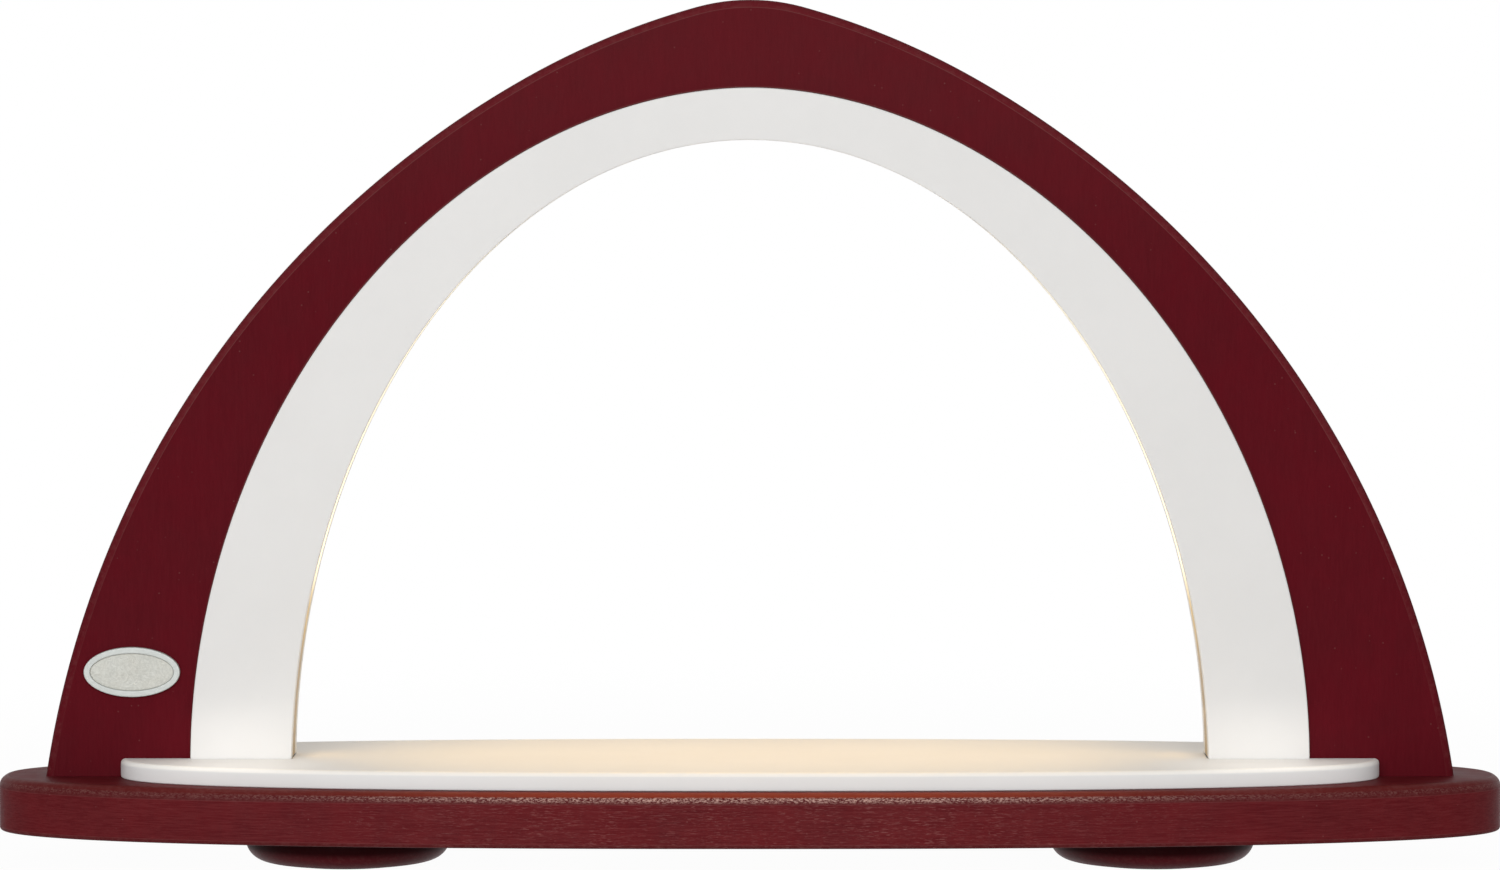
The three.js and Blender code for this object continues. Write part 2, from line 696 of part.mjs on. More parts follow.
// A lead from its solder pad on the strip, down the bore and along the channel to the socket.
// The side is -1 for the lead on the front pad and 1 for the one on the rear pad.
function lead(side, endX, endY, endZ) {
  const padX = -(opening.halfSpan + stripFace) + FIT + LEAD_RADIUS;
  const boreX = leadBoreX + (side * LEAD_PITCH) / 2;
  const top = BASE_THICKNESS + STRIP_FOOT_HEIGHT;
  const channelY = CHANNEL_OFFSET - (side * LEAD_PITCH) / 2;
  const corners = [
    [padX, (side * PAD_PITCH) / 2, top + 2 * LEAD_BEND],
    [padX, (side * PAD_PITCH) / 2, top],
    [boreX, 0, BASE_THICKNESS],
    [boreX, 0, channelZ],
    [boreX, channelY, channelZ],
    [(side * LEAD_PITCH) / 2, channelY, channelZ],
    [(side * LEAD_PITCH) / 2, pocketFront + LEAD_BEND / 2, channelZ],
    [endX, endY - LEAD_BEND, endZ],
    [endX, endY, endZ],
  ].map((p) => new THREE.Vector3(...p));
  const section = new THREE.EllipseCurve(0, 0, LEAD_RADIUS, LEAD_RADIUS).getPoints(LEAD_SIDES).slice(0, -1);
  return new THREE.ExtrudeGeometry(new THREE.Shape(section), {
    steps: LEAD_STEPS,
    extrudePath: easedPath(corners, LEAD_BEND),
  });
}

// Finishes
const stain = { color: 0x5b1a20, roughness: 0.55, metalness: 0 };
const lacquer = { color: 0xf2efea, roughness: 0.35, metalness: 0 };
const opal = { color: 0xfff1cf, roughness: 0.5, metalness: 0, emissive: 0xffc56a, emissiveIntensity: 1 };
const stripWhite = { color: 0xe9e4d6, roughness: 0.5, metalness: 0 };
const steel = { color: 0xb9bcc0, roughness: 0.35, metalness: 1 };
const nickel = { color: 0xc9c6be, roughness: 0.25, metalness: 1 };
const tin = { color: 0xb9beb0, roughness: 0.4, metalness: 0.9 };
const felt = { color: 0x2a2624, roughness: 0.95, metalness: 0 };
const beech = { color: 0xd2ab7b, roughness: 0.6, metalness: 0 };
const fibreboard = { color: 0x6b4a33, roughness: 0.8, metalness: 0 };
const blackPlastic = { color: 0x17171a, roughness: 0.45, metalness: 0 };
const redSleeve = { color: 0xb3261e, roughness: 0.45, metalness: 0 };
const blackSleeve = { color: 0x1c1c1e, roughness: 0.45, metalness: 0 };

function piece(name, geometry, finish, x = 0, y = 0, z = 0) {
  const mesh = new THREE.Mesh(geometry, new THREE.MeshStandardMaterial(finish));
  mesh.name = name;
  mesh.position.set(x, y, z);
  mesh.geometry.computeVertexNormals();
  return mesh;
}

// Everything that stands on the base board.
function standingPieces() {
  const group = new THREE.Group();
  const badgeX = -(outerHalfWidth(BADGE_CENTRE_HEIGHT) + seamHalfWidth(BADGE_CENTRE_HEIGHT)) / 2;
  group.add(
    piece('platform_board', platformBoard(), lacquer),
    piece('arch_outer', outerArch(), stain),
    piece('arch_inner', innerArch(), lacquer),
    piece('led_strip', ledStrip(), stripWhite),
    piece('led_diffuser', ledDiffuser(), opal),
    piece('badge', badge(), tin, badgeX, -OUTER_ARCH_THICKNESS / 2, BADGE_CENTRE_HEIGHT),
    piece('platform_dowel_left', dowel(), beech, -DOWEL_SPACING / 2),
    piece('platform_dowel_right', dowel(), beech, DOWEL_SPACING / 2),
  );
  group.position.z = BASE_THICKNESS;
  return group;
}

// The base board with what is screwed and fitted into it.
function basePieces() {
  const group = new THREE.Group();
  const bodyEnd = baseRear - SOCKET_THREAD_LENGTH;
  const tabRadius = (SOCKET_THREAD_RADIUS + SOCKET_PIN_RADIUS) / 2 + FIT;
  group.add(
    piece('base_board', baseBoard(), stain),
    piece('channel_cover', channelCover(), fibreboard),
    piece('dc_socket_body', socketBody(), blackPlastic, 0, baseRear, socketZ),
    piece('dc_socket_pin', socketPin(), nickel, 0, baseRear, socketZ),
    piece('dc_socket_nut', socketNut(), nickel, 0, baseRear, socketZ),
    piece('lead_positive', lead(-1, 0, bodyEnd - SOCKET_TAIL - FIT, socketZ), redSleeve),
    piece('lead_negative', lead(1, tabRadius, bodyEnd - FIT, socketZ), blackSleeve),
  );
  coverScrewPlaces.forEach(([x, y], i) => {
    group.add(piece(`channel_cover_screw_${i + 1}`, countersunkScrew(COVER_SCREW), steel, x, y));
  });
  [['left', -1], ['right', 1]].forEach(([side, sign]) => {
    group.add(piece(`arch_outer_screw_${side}`, countersunkScrew(ARCH_SCREW), steel, sign * outerScrewX));
    group.add(piece(`arch_inner_screw_${side}`, countersunkScrew(ARCH_SCREW), steel, sign * innerScrewX));
  });
  group.position.z = PAD_PROUD + FOOT_HEIGHT;
  group.add(standingPieces());
  return group;
}

function footPieces(side, sign) {
  const x = sign * footX;
  return [
    piece(`foot_${side}`, foot(), stain, x, 0, PAD_PROUD),
    piece(`foot_pad_${side}`, footPad(), felt, x),
    piece(`foot_screw_${side}`, countersunkScrew(FOOT_SCREW), steel, x, 0, PAD_PROUD + footScrewZ()),
  ];
}

const ledArch = new THREE.Group();
ledArch.add(basePieces(), ...footPieces('left', -1), ...footPieces('right', 1));

export default ledArch;
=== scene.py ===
"""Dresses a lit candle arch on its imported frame.

A red stained arch with a white arch nested in it stands on a base board with two turned feet. The
white arch holds a warm band of light in its inner edge, and a slotted white platform clasps the
legs. Sizes are in millimetres until a mesh is made, and in metres from there on.
"""
import logging
import math
from dataclasses import dataclass, field
from enum import Enum
from functools import cached_property
from typing import Mapping, NamedTuple, Optional, Protocol, Sequence, Union

import bmesh
import bpy
from mathutils import Matrix, Vector


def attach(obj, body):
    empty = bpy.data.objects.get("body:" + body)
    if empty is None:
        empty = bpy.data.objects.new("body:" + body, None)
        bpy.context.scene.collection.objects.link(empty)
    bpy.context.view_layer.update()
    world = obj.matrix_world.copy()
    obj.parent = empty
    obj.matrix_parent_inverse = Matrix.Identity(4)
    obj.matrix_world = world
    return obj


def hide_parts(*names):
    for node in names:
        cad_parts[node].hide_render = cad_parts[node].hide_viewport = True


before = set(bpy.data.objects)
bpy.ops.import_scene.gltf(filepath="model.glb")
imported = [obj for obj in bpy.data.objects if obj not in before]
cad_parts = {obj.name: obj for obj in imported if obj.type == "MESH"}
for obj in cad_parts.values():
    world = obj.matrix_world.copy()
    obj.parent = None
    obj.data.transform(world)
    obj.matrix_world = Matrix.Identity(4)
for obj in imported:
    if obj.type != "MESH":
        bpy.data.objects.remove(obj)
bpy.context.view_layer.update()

log = logging.getLogger("candle_arch")

MM = 0.001
CREASE = 32.0  # the angle in degrees past which an edge stays sharp
SUPPORT = 0.45  # from a rounded edge to the row that keeps the flat beside it flat
ROUND_SHARE = 0.8  # the most of a flat that a round at its end may take
ROOM_SHARE = 2.5  # a flat this many times as long as its round has room for such a row
BASE_HALF = (261.0, 59.0)  # half of the base board's length and depth
FOOT_REACH = 140.0  # from the middle of the arch to the middle of a foot
LEG_SCREWS = {"inner": 179.8, "outer": 219.0}  # from the middle to the screws of each arch
OVERCUT = 5.0  # how far a cutter goes past what it cuts
COVER_SCREWS = ((-82.8, 13.0), (-20.5, 13.0), (-11.5, 41.0), (11.5, 41.0))

Colour = tuple[float, float, float]
Point2 = tuple[float, float]
Point3 = tuple[float, float, float]
Band = tuple[Point2, Point2]  # where a number rises, and where it falls
Feed = Union["Wire", bpy.types.ID, float, int, bool, str, tuple]


class Side(Enum):
    """A side of the arch, seen from the front."""

    LEFT = -1
    RIGHT = 1

    @property
    def end(self) -> str:
        """How a piece's name ends on this side."""
        return self.name.lower()


class GrainRun(Enum):
    """The way that fibres run: how fine they are along each axis, per metre."""

    ALONG_THE_BOARD = (70.0, 420.0, 2300.0)
    UP_THE_LEGS = (1500.0, 1500.0, 160.0)
    ROUND_THE_FOOT = (40.0, 2200.0, 1500.0)


@dataclass(frozen=True)
class Levels:
    """Heights that several pieces share, in millimetres above the table."""

    base_underside: float = 11.5
    base_top: float = 30.5
    platform_top: float = 36.8
    foot_bottom: float = 0.8
    screw_face_in_foot: float = 2.0


LEVELS = Levels()


# Node helpers


class Wire:
    """A node's output, which can be reckoned with as a number."""

    def __init__(self, sketch: "NodeSketch", socket: bpy.types.NodeSocket) -> None:
        """Keeps the socket, and the sketch that adds nodes behind it."""
        self.sketch = sketch
        self.socket = socket

    def __add__(self, other: Feed) -> "Wire":
        """Adds a number."""
        return self.sketch.math("ADD", self, other)

    def __sub__(self, other: Feed) -> "Wire":
        """Takes a number away."""
        return self.sketch.math("SUBTRACT", self, other)

    def __rsub__(self, other: Feed) -> "Wire":
        """Takes this away from a number."""
        return self.sketch.math("SUBTRACT", other, self)

    def __mul__(self, other: Feed) -> "Wire":
        """Multiplies by a number."""
        return self.sketch.math("MULTIPLY", self, other)

    def __truediv__(self, other: Feed) -> "Wire":
        """Divides by a number."""
        return self.sketch.math("DIVIDE", self, other)

    def __rtruediv__(self, other: Feed) -> "Wire":
        """Divides a number by this."""
        return self.sketch.math("DIVIDE", other, self)

    def __pow__(self, other: Feed) -> "Wire":
        """Raises to a power."""
        return self.sketch.math("POWER", self, other)

    def __gt__(self, other: Feed) -> "Wire":
        """1 where this is the greater, and 0 elsewhere."""
        return self.sketch.math("GREATER_THAN", self, other)

    def __lt__(self, other: Feed) -> "Wire":
        """1 where this is the lesser, and 0 elsewhere."""
        return self.sketch.math("LESS_THAN", self, other)


class NodeSketch:
    """Adds nodes to one tree and wires them by socket name."""

    def __init__(self, tree: bpy.types.NodeTree) -> None:
        """Starts on a tree."""
        self.tree = tree

    def feed(self, socket: bpy.types.NodeSocket, value: Feed) -> None:
        """Links a socket to an output, or sets its value.

        Args:
            socket: The input to fill.
            value: An output to link from, or a plain value.
        """
        if isinstance(value, Wire):
            self.tree.links.new(value.socket, socket)
        else:
            socket.default_value = value

    def node(self, kind: str, feeds: Optional[Mapping] = None, **settings: object) -> bpy.types.Node:
        """Adds a node.

        Args:
            kind: The node's type name.
            feeds: Values or wires for its inputs, by name or index.
            **settings: Properties to set before the inputs are filled.

        Returns:
            The new node.
        """
        node = self.tree.nodes.new(kind)
        for name, value in settings.items():
            setattr(node, name, value)
        for name, value in (feeds or {}).items():
            self.feed(node.inputs[name], value)
        return node

    def add(
        self, kind: str, feeds: Optional[Mapping] = None, give: Union[int, str] = 0, **settings: object,
    ) -> Wire:
        """Adds a node, as node() does, and gives the wire of one of its outputs."""
        return Wire(self, self.node(kind, feeds, **settings).outputs[give])

    def outs(self, kind: str, feeds: Optional[Mapping] = None, **settings: object) -> dict[str, Wire]:
        """Adds a node, as node() does, and gives the wires of all its outputs by name."""
        return {socket.name: Wire(self, socket) for socket in self.node(kind, feeds, **settings).outputs}

    def part(self, tree: bpy.types.NodeTree, feeds: Mapping) -> dict[str, Wire]:
        """Places a node group and gives the wires of its outputs by name."""
        kind = "GeometryNodeGroup" if tree.bl_idname == "GeometryNodeTree" else "ShaderNodeGroup"
        return self.outs(kind, feeds, node_tree=tree)

    def math(self, operation: str, first: Feed, second: Feed = 0.0) -> Wire:
        """Works out one number from two."""
        return self.add("ShaderNodeMath", {0: first, 1: second}, operation=operation)

    def clamp(self, value: Feed) -> Wire:
        """Keeps a number between 0 and 1."""
        return self.add("ShaderNodeClamp", {"Value": value})

    def ramp(self, value: Feed, low: float, high: float, start: Feed = 0.0, end: Feed = 1.0) -> Wire:
        """Runs smoothly from one number to another while a value goes from low to high.

        Args:
            value: The value to follow.
            low: Where the run begins.
            high: Where the run ends.
            start: The result at and before low.
            end: The result at and past high.

        Returns:
            The result.
        """
        feeds = {"Value": value, "From Min": low, "From Max": high, "To Min": start, "To Max": end}
        return self.add("ShaderNodeMapRange", feeds, interpolation_type="SMOOTHSTEP")

    def band(self, value: Feed, band: Band) -> Wire:
        """Runs from 0 to 1 where a value rises through a band, and back to 0 where it leaves it."""
        (low, full), (still_full, high) = band
        return self.ramp(value, low, full) * self.ramp(value, high, still_full)

    def layers(self, lowest: Feed, *coats: tuple[Feed, Feed]) -> Feed:
        """Lays colours over each other.

        Args:
            lowest: The lowest colour.
            *coats: How much of each further coat shows, and its colour.

        Returns:
            The colour that shows.
        """
        colour = lowest
        for share, coat in coats:
            feeds = {0: share, 6: opaque(colour), 7: opaque(coat)}
            colour = self.add("ShaderNodeMix", feeds, 2, data_type="RGBA")
        return colour

    def pick(self, choice: Feed, no: Feed, yes: Feed) -> Wire:
        """Takes one number where a choice is 0 and another where it is 1."""
        change = self.math("SUBTRACT", yes, no)
        return self.math("ADD", no, self.math("MULTIPLY", choice, change))

    def split(self, vector: Feed) -> tuple[Wire, ...]:
        """Gives a vector's three numbers."""
        return tuple(self.outs("ShaderNodeSeparateXYZ", {"Vector": vector}).values())

    def joined(self, x: Feed, y: Feed, z: Feed) -> Wire:
        """Makes a vector of three numbers."""
        return self.add("ShaderNodeCombineXYZ", {"X": x, "Y": y, "Z": z})

    def scaled(self, vector: Feed, factors: Feed) -> Wire:
        """Multiplies a vector by another, axis by axis."""
        return self.add("ShaderNodeVectorMath", {0: vector, 1: factors}, operation="MULTIPLY")

    def noise(self, vector: Feed, scale: Feed, detail: float, rough: float, waver: Feed = 0.0) -> Wire:
        """Adds a noise texture.

        Args:
            vector: Where it is read.
            scale: Its fineness.
            detail: How many finer layers it has.
            rough: How strong the finer layers are.
            waver: How much it is bent by itself.

        Returns:
            Its value.
        """
        feeds = {"Vector": vector, "Scale": scale, "Detail": detail, "Roughness": rough, "Distortion": waver}
        return self.add("ShaderNodeTexNoise", feeds, "Fac")


def opaque(colour: Feed) -> Feed:
    """Gives a plain colour its fourth number, and leaves a wire alone."""
    return (*colour, 1.0) if isinstance(colour, tuple) else colour


def cleared(owner: Union[bpy.types.Material, bpy.types.World]) -> bpy.types.NodeTree:
    """Gives a material or a world an empty node tree.

    Args:
        owner: The material or the world.

    Returns:
        Its node tree.
    """
    owner.use_nodes = True
    owner.node_tree.nodes.clear()
    return owner.node_tree


SOCKET_KINDS = {float: "Float", int: "Int", tuple: "Vector"}


def new_group(
    name: str, kind: str, inputs: Mapping[str, Feed], outputs: Mapping[str, str],
) -> tuple[NodeSketch, dict[str, Wire]]:
    """Starts a node group with named inputs and outputs.

    Args:
        name: The group's name.
        kind: ShaderNodeTree or GeometryNodeTree.
        inputs: Each input's usual value, or its kind of socket where it has none.
        outputs: Each output's kind of socket.

    Returns:
        The group's sketch, and the wires of its inputs by name.
    """
    tree = bpy.data.node_groups.new(name, kind)
    for label, usual in inputs.items():
        bare = isinstance(usual, str)
        socket_kind = usual if bare else SOCKET_KINDS[type(usual)]
        socket = tree.interface.new_socket(
            name=label, in_out="INPUT", socket_type=f"NodeSocket{socket_kind}",
        )
        if not bare:
            socket.default_value = usual
    for label, socket_kind in outputs.items():
        tree.interface.new_socket(name=label, in_out="OUTPUT", socket_type=f"NodeSocket{socket_kind}")
    sketch = NodeSketch(tree)
    return sketch, sketch.outs("NodeGroupInput")


class SurfaceEffects:
    """Effects that several finishes share, each a shader node group built once."""

    def __init__(self) -> None:
        """Builds every group."""
        self.fibres = self._fibres()
        self.mottle = self._mottle()
        self.specks = self._specks()
        self.edge_wear = self._edge_wear()
        self.scratches = self._scratches()

    @staticmethod
    def _fibres() -> bpy.types.NodeTree:
        """Wood fibres: fine ones, and the broad figure under them."""
        sketch, given = new_group(
            "wood_fibres", "ShaderNodeTree",
            {"Position": "Vector", "Density": (80.0, 1800.0, 1800.0), "Waver": 0.0},
            {"Fine": "Float", "Figure": "Float"},
        )
        place = sketch.scaled(given["Position"], given["Density"])
        fine = sketch.noise(place, 1.0, detail=3.0, rough=0.6, waver=given["Waver"])
        figure = sketch.noise(sketch.scaled(place, (0.3, 0.06, 0.06)), 1.0, detail=4.0, rough=0.55)
        sketch.node("NodeGroupOutput", {
            "Fine": sketch.ramp(fine, 0.32, 0.68), "Figure": sketch.ramp(figure, 0.3, 0.7),
        })
        return sketch.tree

    @staticmethod
    def _mottle() -> bpy.types.NodeTree:
        """Soft clouds of darker and lighter finish."""
        sketch, given = new_group(
            "mottle", "ShaderNodeTree",
            {"Position": "Vector", "Scale": 60.0, "Low": 0.0, "High": 1.0}, {"Value": "Float"},
        )
        cloud = sketch.noise(given["Position"], given["Scale"], detail=4.0, rough=0.6)
        sketch.node("NodeGroupOutput", {"Value": sketch.ramp(cloud, 0.28, 0.72, given["Low"], given["High"])})
        return sketch.tree

    @staticmethod
    def _specks() -> bpy.types.NodeTree:
        """Tiny spots, in a share of the cells that they could lie in."""
        sketch, given = new_group(
            "specks", "ShaderNodeTree",
            {"Position": "Vector", "Scale": 300.0, "Size": 0.15, "Share": 0.2}, {"Value": "Float"},
        )
        cells = sketch.outs("ShaderNodeTexVoronoi", {"Vector": given["Position"], "Scale": given["Scale"]})
        chance = sketch.add("ShaderNodeSeparateColor", {"Color": cells["Color"]})
        near = sketch.clamp(1.0 - cells["Distance"] / given["Size"])
        sketch.node("NodeGroupOutput", {"Value": (chance < given["Share"]) * near})
        return sketch.tree

    @staticmethod
    def _edge_wear() -> bpy.types.NodeTree:
        """Wear along the edges: broken up on the edge, and nothing on the flats."""
        sketch, given = new_group(
            "edge_wear", "ShaderNodeTree",
            {"Position": "Vector", "Edge": 0.0, "Scale": 400.0, "Amount": 0.5}, {"Value": "Float"},
        )
        cloud = sketch.noise(given["Position"], given["Scale"], detail=4.0, rough=0.65)
        broken = sketch.ramp(cloud, 0.42, 0.66)
        worn = sketch.clamp(given["Edge"]) * given["Amount"] * broken
        sketch.node("NodeGroupOutput", {"Value": sketch.clamp(worn)})
        return sketch.tree

    @staticmethod
    def _scratches() -> bpy.types.NodeTree:
        """Fine marks of handling or of the tool, crossing each other."""
        sketch, given = new_group(
            "scratches", "ShaderNodeTree", {"Position": "Vector", "Scale": 900.0}, {"Value": "Float"},
        )
        one, other = (
            sketch.noise(sketch.scaled(given["Position"], stretch), given["Scale"], detail=2.0, rough=0.55)
            for stretch in ((1.0, 0.08, 0.3), (0.08, 1.0, 0.3))
        )
        sketch.node("NodeGroupOutput", {"Value": sketch.ramp(one * other, 0.12, 0.4)})
        return sketch.tree


EFFECTS = SurfaceEffects()


class Brush(NodeSketch):
    """Paints one material, with the shared effects read where its surface is."""

    def __init__(self, material: bpy.types.Material) -> None:
        """Starts a material with its shader and its texture coordinates.

        Args:
            material: The material.
        """
        super().__init__(cleared(material))
        self.shader = self.node("ShaderNodeBsdfPrincipled")
        self.node("ShaderNodeOutputMaterial", {"Surface": Wire(self, self.shader.outputs["BSDF"])})
        places = self.outs("ShaderNodeTexCoord")
        self.position = places["Object"]
        self.normal = places["Normal"]

    @cached_property
    def edge(self) -> Wire:
        """How far a point is on a rounded edge."""
        return self.add("ShaderNodeAttribute", give="Fac", attribute_name="edge")

    @cached_property
    def level(self) -> Wire:
        """How high a point is."""
        return self.split(self.position)[2]

    @cached_property
    def slope(self) -> Wire:
        """How far the surface looks up at a point, from -1 to 1."""
        return self.split(self.normal)[2]

    def effect(self, tree: bpy.types.NodeTree, **feeds: Feed) -> Wire:
        """Reads a shared effect with one output at the surface's own place."""
        return self.part(tree, {"Position": self.position, **feeds})["Value"]

    def cloud(self, scale: float, **feeds: Feed) -> Wire:
        """Soft clouds of a fineness."""
        return self.effect(EFFECTS.mottle, Scale=scale, **feeds)

    def specks(self, scale: float, size: float, share: float) -> Wire:
        """Tiny spots of a size, in a share of the cells of a fineness."""
        return self.effect(EFFECTS.specks, Scale=scale, Size=size, Share=share)

    def wear(self, scale: float, amount: float) -> Wire:
        """Wear along the rounded edges."""
        return self.effect(EFFECTS.edge_wear, Edge=self.edge, Scale=scale, Amount=amount)

    def fibres(self, density: Point3, waver: float, place: Optional[Wire] = None) -> tuple[Wire, Wire]:
        """Wood fibres.

        Args:
            density: How fine they are along each axis, per metre.
            waver: How much they bend.
            place: Where they are read, if not at the surface's own place.

        Returns:
            The fine fibres and the broad figure.
        """
        feeds = {"Position": place or self.position, "Density": density, "Waver": waver}
        found = self.part(EFFECTS.fibres, feeds)
        return found["Fine"], found["Figure"]

    def lay(
        self, colour: Feed, roughness: Feed, height: Wire, strength: float, depth: float, **others: Feed,
    ) -> None:
        """Fills in the shader.

        Args:
            colour: Base colour.
            roughness: Roughness.
            height: The relief, from 0 to 1.
            strength: How much of the relief shows.
            depth: Its depth in millimetres.
            **others: Further inputs of the shader, with _ for each space in their names.
        """
        feeds = {"Height": height, "Strength": strength, "Distance": depth * MM}
        bumped = self.add("ShaderNodeBump", feeds, "Normal")
        for name, value in {"Base_Color": colour, "Roughness": roughness, "Normal": bumped, **others}.items():
            self.feed(self.shader.inputs[name.replace("_", " ")], value)


# Finishes


@dataclass(frozen=True)
class Finish:
    """A surface finish, which makes its material the first time it is asked for."""

    name: str

    def material(self) -> bpy.types.Material:
        """Gives the finish's material, the same one each time."""
        name = f"{self.name}_finish"
        if name not in bpy.data.materials:
            self.paint(Brush(bpy.data.materials.new(name)))
        return bpy.data.materials[name]

    def paint(self, brush: Brush) -> None:
        """Fills in the material's shader.

        Args:
            brush: The material's brush.
        """
        raise NotImplementedError


@dataclass(frozen=True)
class Stain(Finish):
    """Transparent red stain on wood or fibreboard, with the fibres showing through."""

    deep: Colour
    light: Colour
    fibre: Colour
    # pale colour of the specks, the crown and the worn edges, and of the painted highlight line on the rounds
    line: Colour
    # colour laid on the rounds; on the arch it is lighter, as painted light from above
    round_colour: Colour
    run: GrainRun
    fibre_share: float
    speck_share: float
    roughness: float
    grain_height: float
    gloss: float
    line_share: float = 0.16
    # how much of the painted light on the rounds is left at the bottom
    low_wear: float = 1.0
    crown_wear: float = 0.0
    waver: float = 0.4
    cloud_scale: float = 55.0
    streak_scale: float = 260.0
    streak_stretch: Point3 = (1.0, 1.0, 0.22)
    depth_shares: Point3 = (0.6, 0.26, 0.14)  # of the clouds, the streaks and the figure
    line_band: Band = ((0.1, 0.45), (0.55, 0.95))
    round_run: Point2 = (0.5, 0.98)
    wear_levels: Point2 = (0.05, 0.17)
    crown_levels: Point2 = (0.18, 0.29)

    def paint(self, brush: Brush) -> None:
        """Lays the stained fibres, the worn edges, and painted light on the rounds: a round colour and a
        painted highlight line, which can fade towards the bottom.

        Args:
            brush: The material's brush.
        """
        fine, figure = brush.fibres(self.run.value, self.waver, self.grain_place(brush))
        cloud = brush.cloud(self.cloud_scale)
        stretched = brush.scaled(brush.position, self.streak_stretch)
        streak = brush.cloud(self.streak_scale, Position=stretched)
        cloudy, streaky, figured = self.depth_shares
        depth = cloud * cloudy + streak * streaky + figure * figured
        on_highlight_line = brush.band(brush.edge, self.line_band)
        # painted light from above: the rounds' colour and highlight line fade towards the bottom
        high = brush.ramp(brush.level, *self.wear_levels, self.low_wear, 1.0)
        colour = brush.layers(
            self.deep,
            (depth, self.light),
            (fine * self.fibre_share, self.fibre),
            (brush.specks(420.0, size=0.16, share=self.speck_share) * 0.5, self.line),
            # paler towards the crown
            (brush.ramp(brush.level, *self.crown_levels, 0.0, self.crown_wear), self.line),
            # painted light on the rounds, then a painted highlight line along them
            (brush.ramp(brush.edge, *self.round_run) * high, self.round_colour),
            (on_highlight_line * high * self.line_share, self.line),
            (brush.wear(500.0, amount=0.12), self.line),
        )
        colour, roughness = self.accents(brush, colour, cloud * 0.1 + self.roughness)
        relief = fine + streak * 0.6
        brush.lay(colour, roughness, relief, 0.5, self.grain_height, Specular_IOR_Level=self.gloss)

    def grain_place(self, brush: Brush) -> Wire:
        """Where the fibres are read."""
        return brush.position

    def accents(self, brush: Brush, colour: Wire, roughness: Wire) -> tuple[Wire, Wire]:
        """Adds what only one kind of piece has to the colour and the roughness.

        Args:
            brush: The material's brush.
            colour: The colour so far.
            roughness: The roughness so far.

        Returns:
            The colour and the roughness to use.
        """
        return colour, roughness


@dataclass(frozen=True)
class RubbedStain(Stain):
    """Stain with a painted highlight along a rounded top edge, and painted light on flecks over the front,
    most in the middle.
    """

    # The glint is painted light: a lit line on the upper turn of the edge, a painted highlight on its lower
    # turn, and brightened flecks on the front.
    glint: float = 0.9
    upper_colour: Colour = (0.235, 0.033, 0.016)
    hair_colour: Colour = (0.58, 0.36, 0.31)
    fleck_colour: Colour = (0.3, 0.12, 0.115)
    hair_density: Point3 = (950.0, 2400.0, 2600.0)
    fleck_density: Point3 = (330.0, 2000.0, 3400.0)
    middle_run: Point2 = (0.05, 0.18)
    end_share: float = 0.12
    depth_run: Point2 = (-0.03, 0.03)
    rear_share: float = 0.4
    upper_band: Band = ((0.48, 0.66), (0.97, 1.0))
    lower_band: Band = ((0.0, 0.34), (0.5, 0.66))
    front_share: float = 0.55

    def accents(self, brush: Brush, colour: Wire, roughness: Wire) -> tuple[Wire, Wire]:
        """Paints light on the turn of the edge, a painted highlight that sparkles below it, and flecks over
        the front brightened as painted light, all strongest in the middle.

        Args:
            brush: The material's brush.
            colour: The colour so far.
            roughness: The roughness so far.

        Returns:
            The colour and the roughness to use.
        """
        x, y, _ = brush.split(brush.position)
        across = brush.math("ABSOLUTE", x)
        # painted light, strongest in the middle of the front and fainter at the ends and towards the rear
        middle = brush.ramp(across, *self.middle_run, self.glint, self.end_share * self.glint)
        middle = middle * brush.ramp(y, *self.depth_run, 1.0, self.rear_share)
        upper = brush.band(brush.slope, self.upper_band)
        lower = brush.band(brush.slope, self.lower_band)
        front = brush.ramp(brush.slope, 0.1, 0.0, 0.0, self.front_share)
        hairs, flecks = (
            brush.noise(brush.scaled(brush.position, density), 1.0, detail=2.0, rough=0.7)
            for density in (self.hair_density, self.fleck_density)
        )
        patches = brush.cloud(70.0, Low=0.25)
        # painted light and painted highlight laid over the stain
        colour = brush.layers(
            colour,
            (upper * middle, self.upper_colour),
            (lower * brush.ramp(hairs, 0.42, 0.64) * middle, self.hair_colour),
            (brush.ramp(flecks, 0.53, 0.68) * patches * middle * front, self.fleck_colour),
        )
        return colour, roughness - brush.math("MAXIMUM", upper, lower) * 0.1


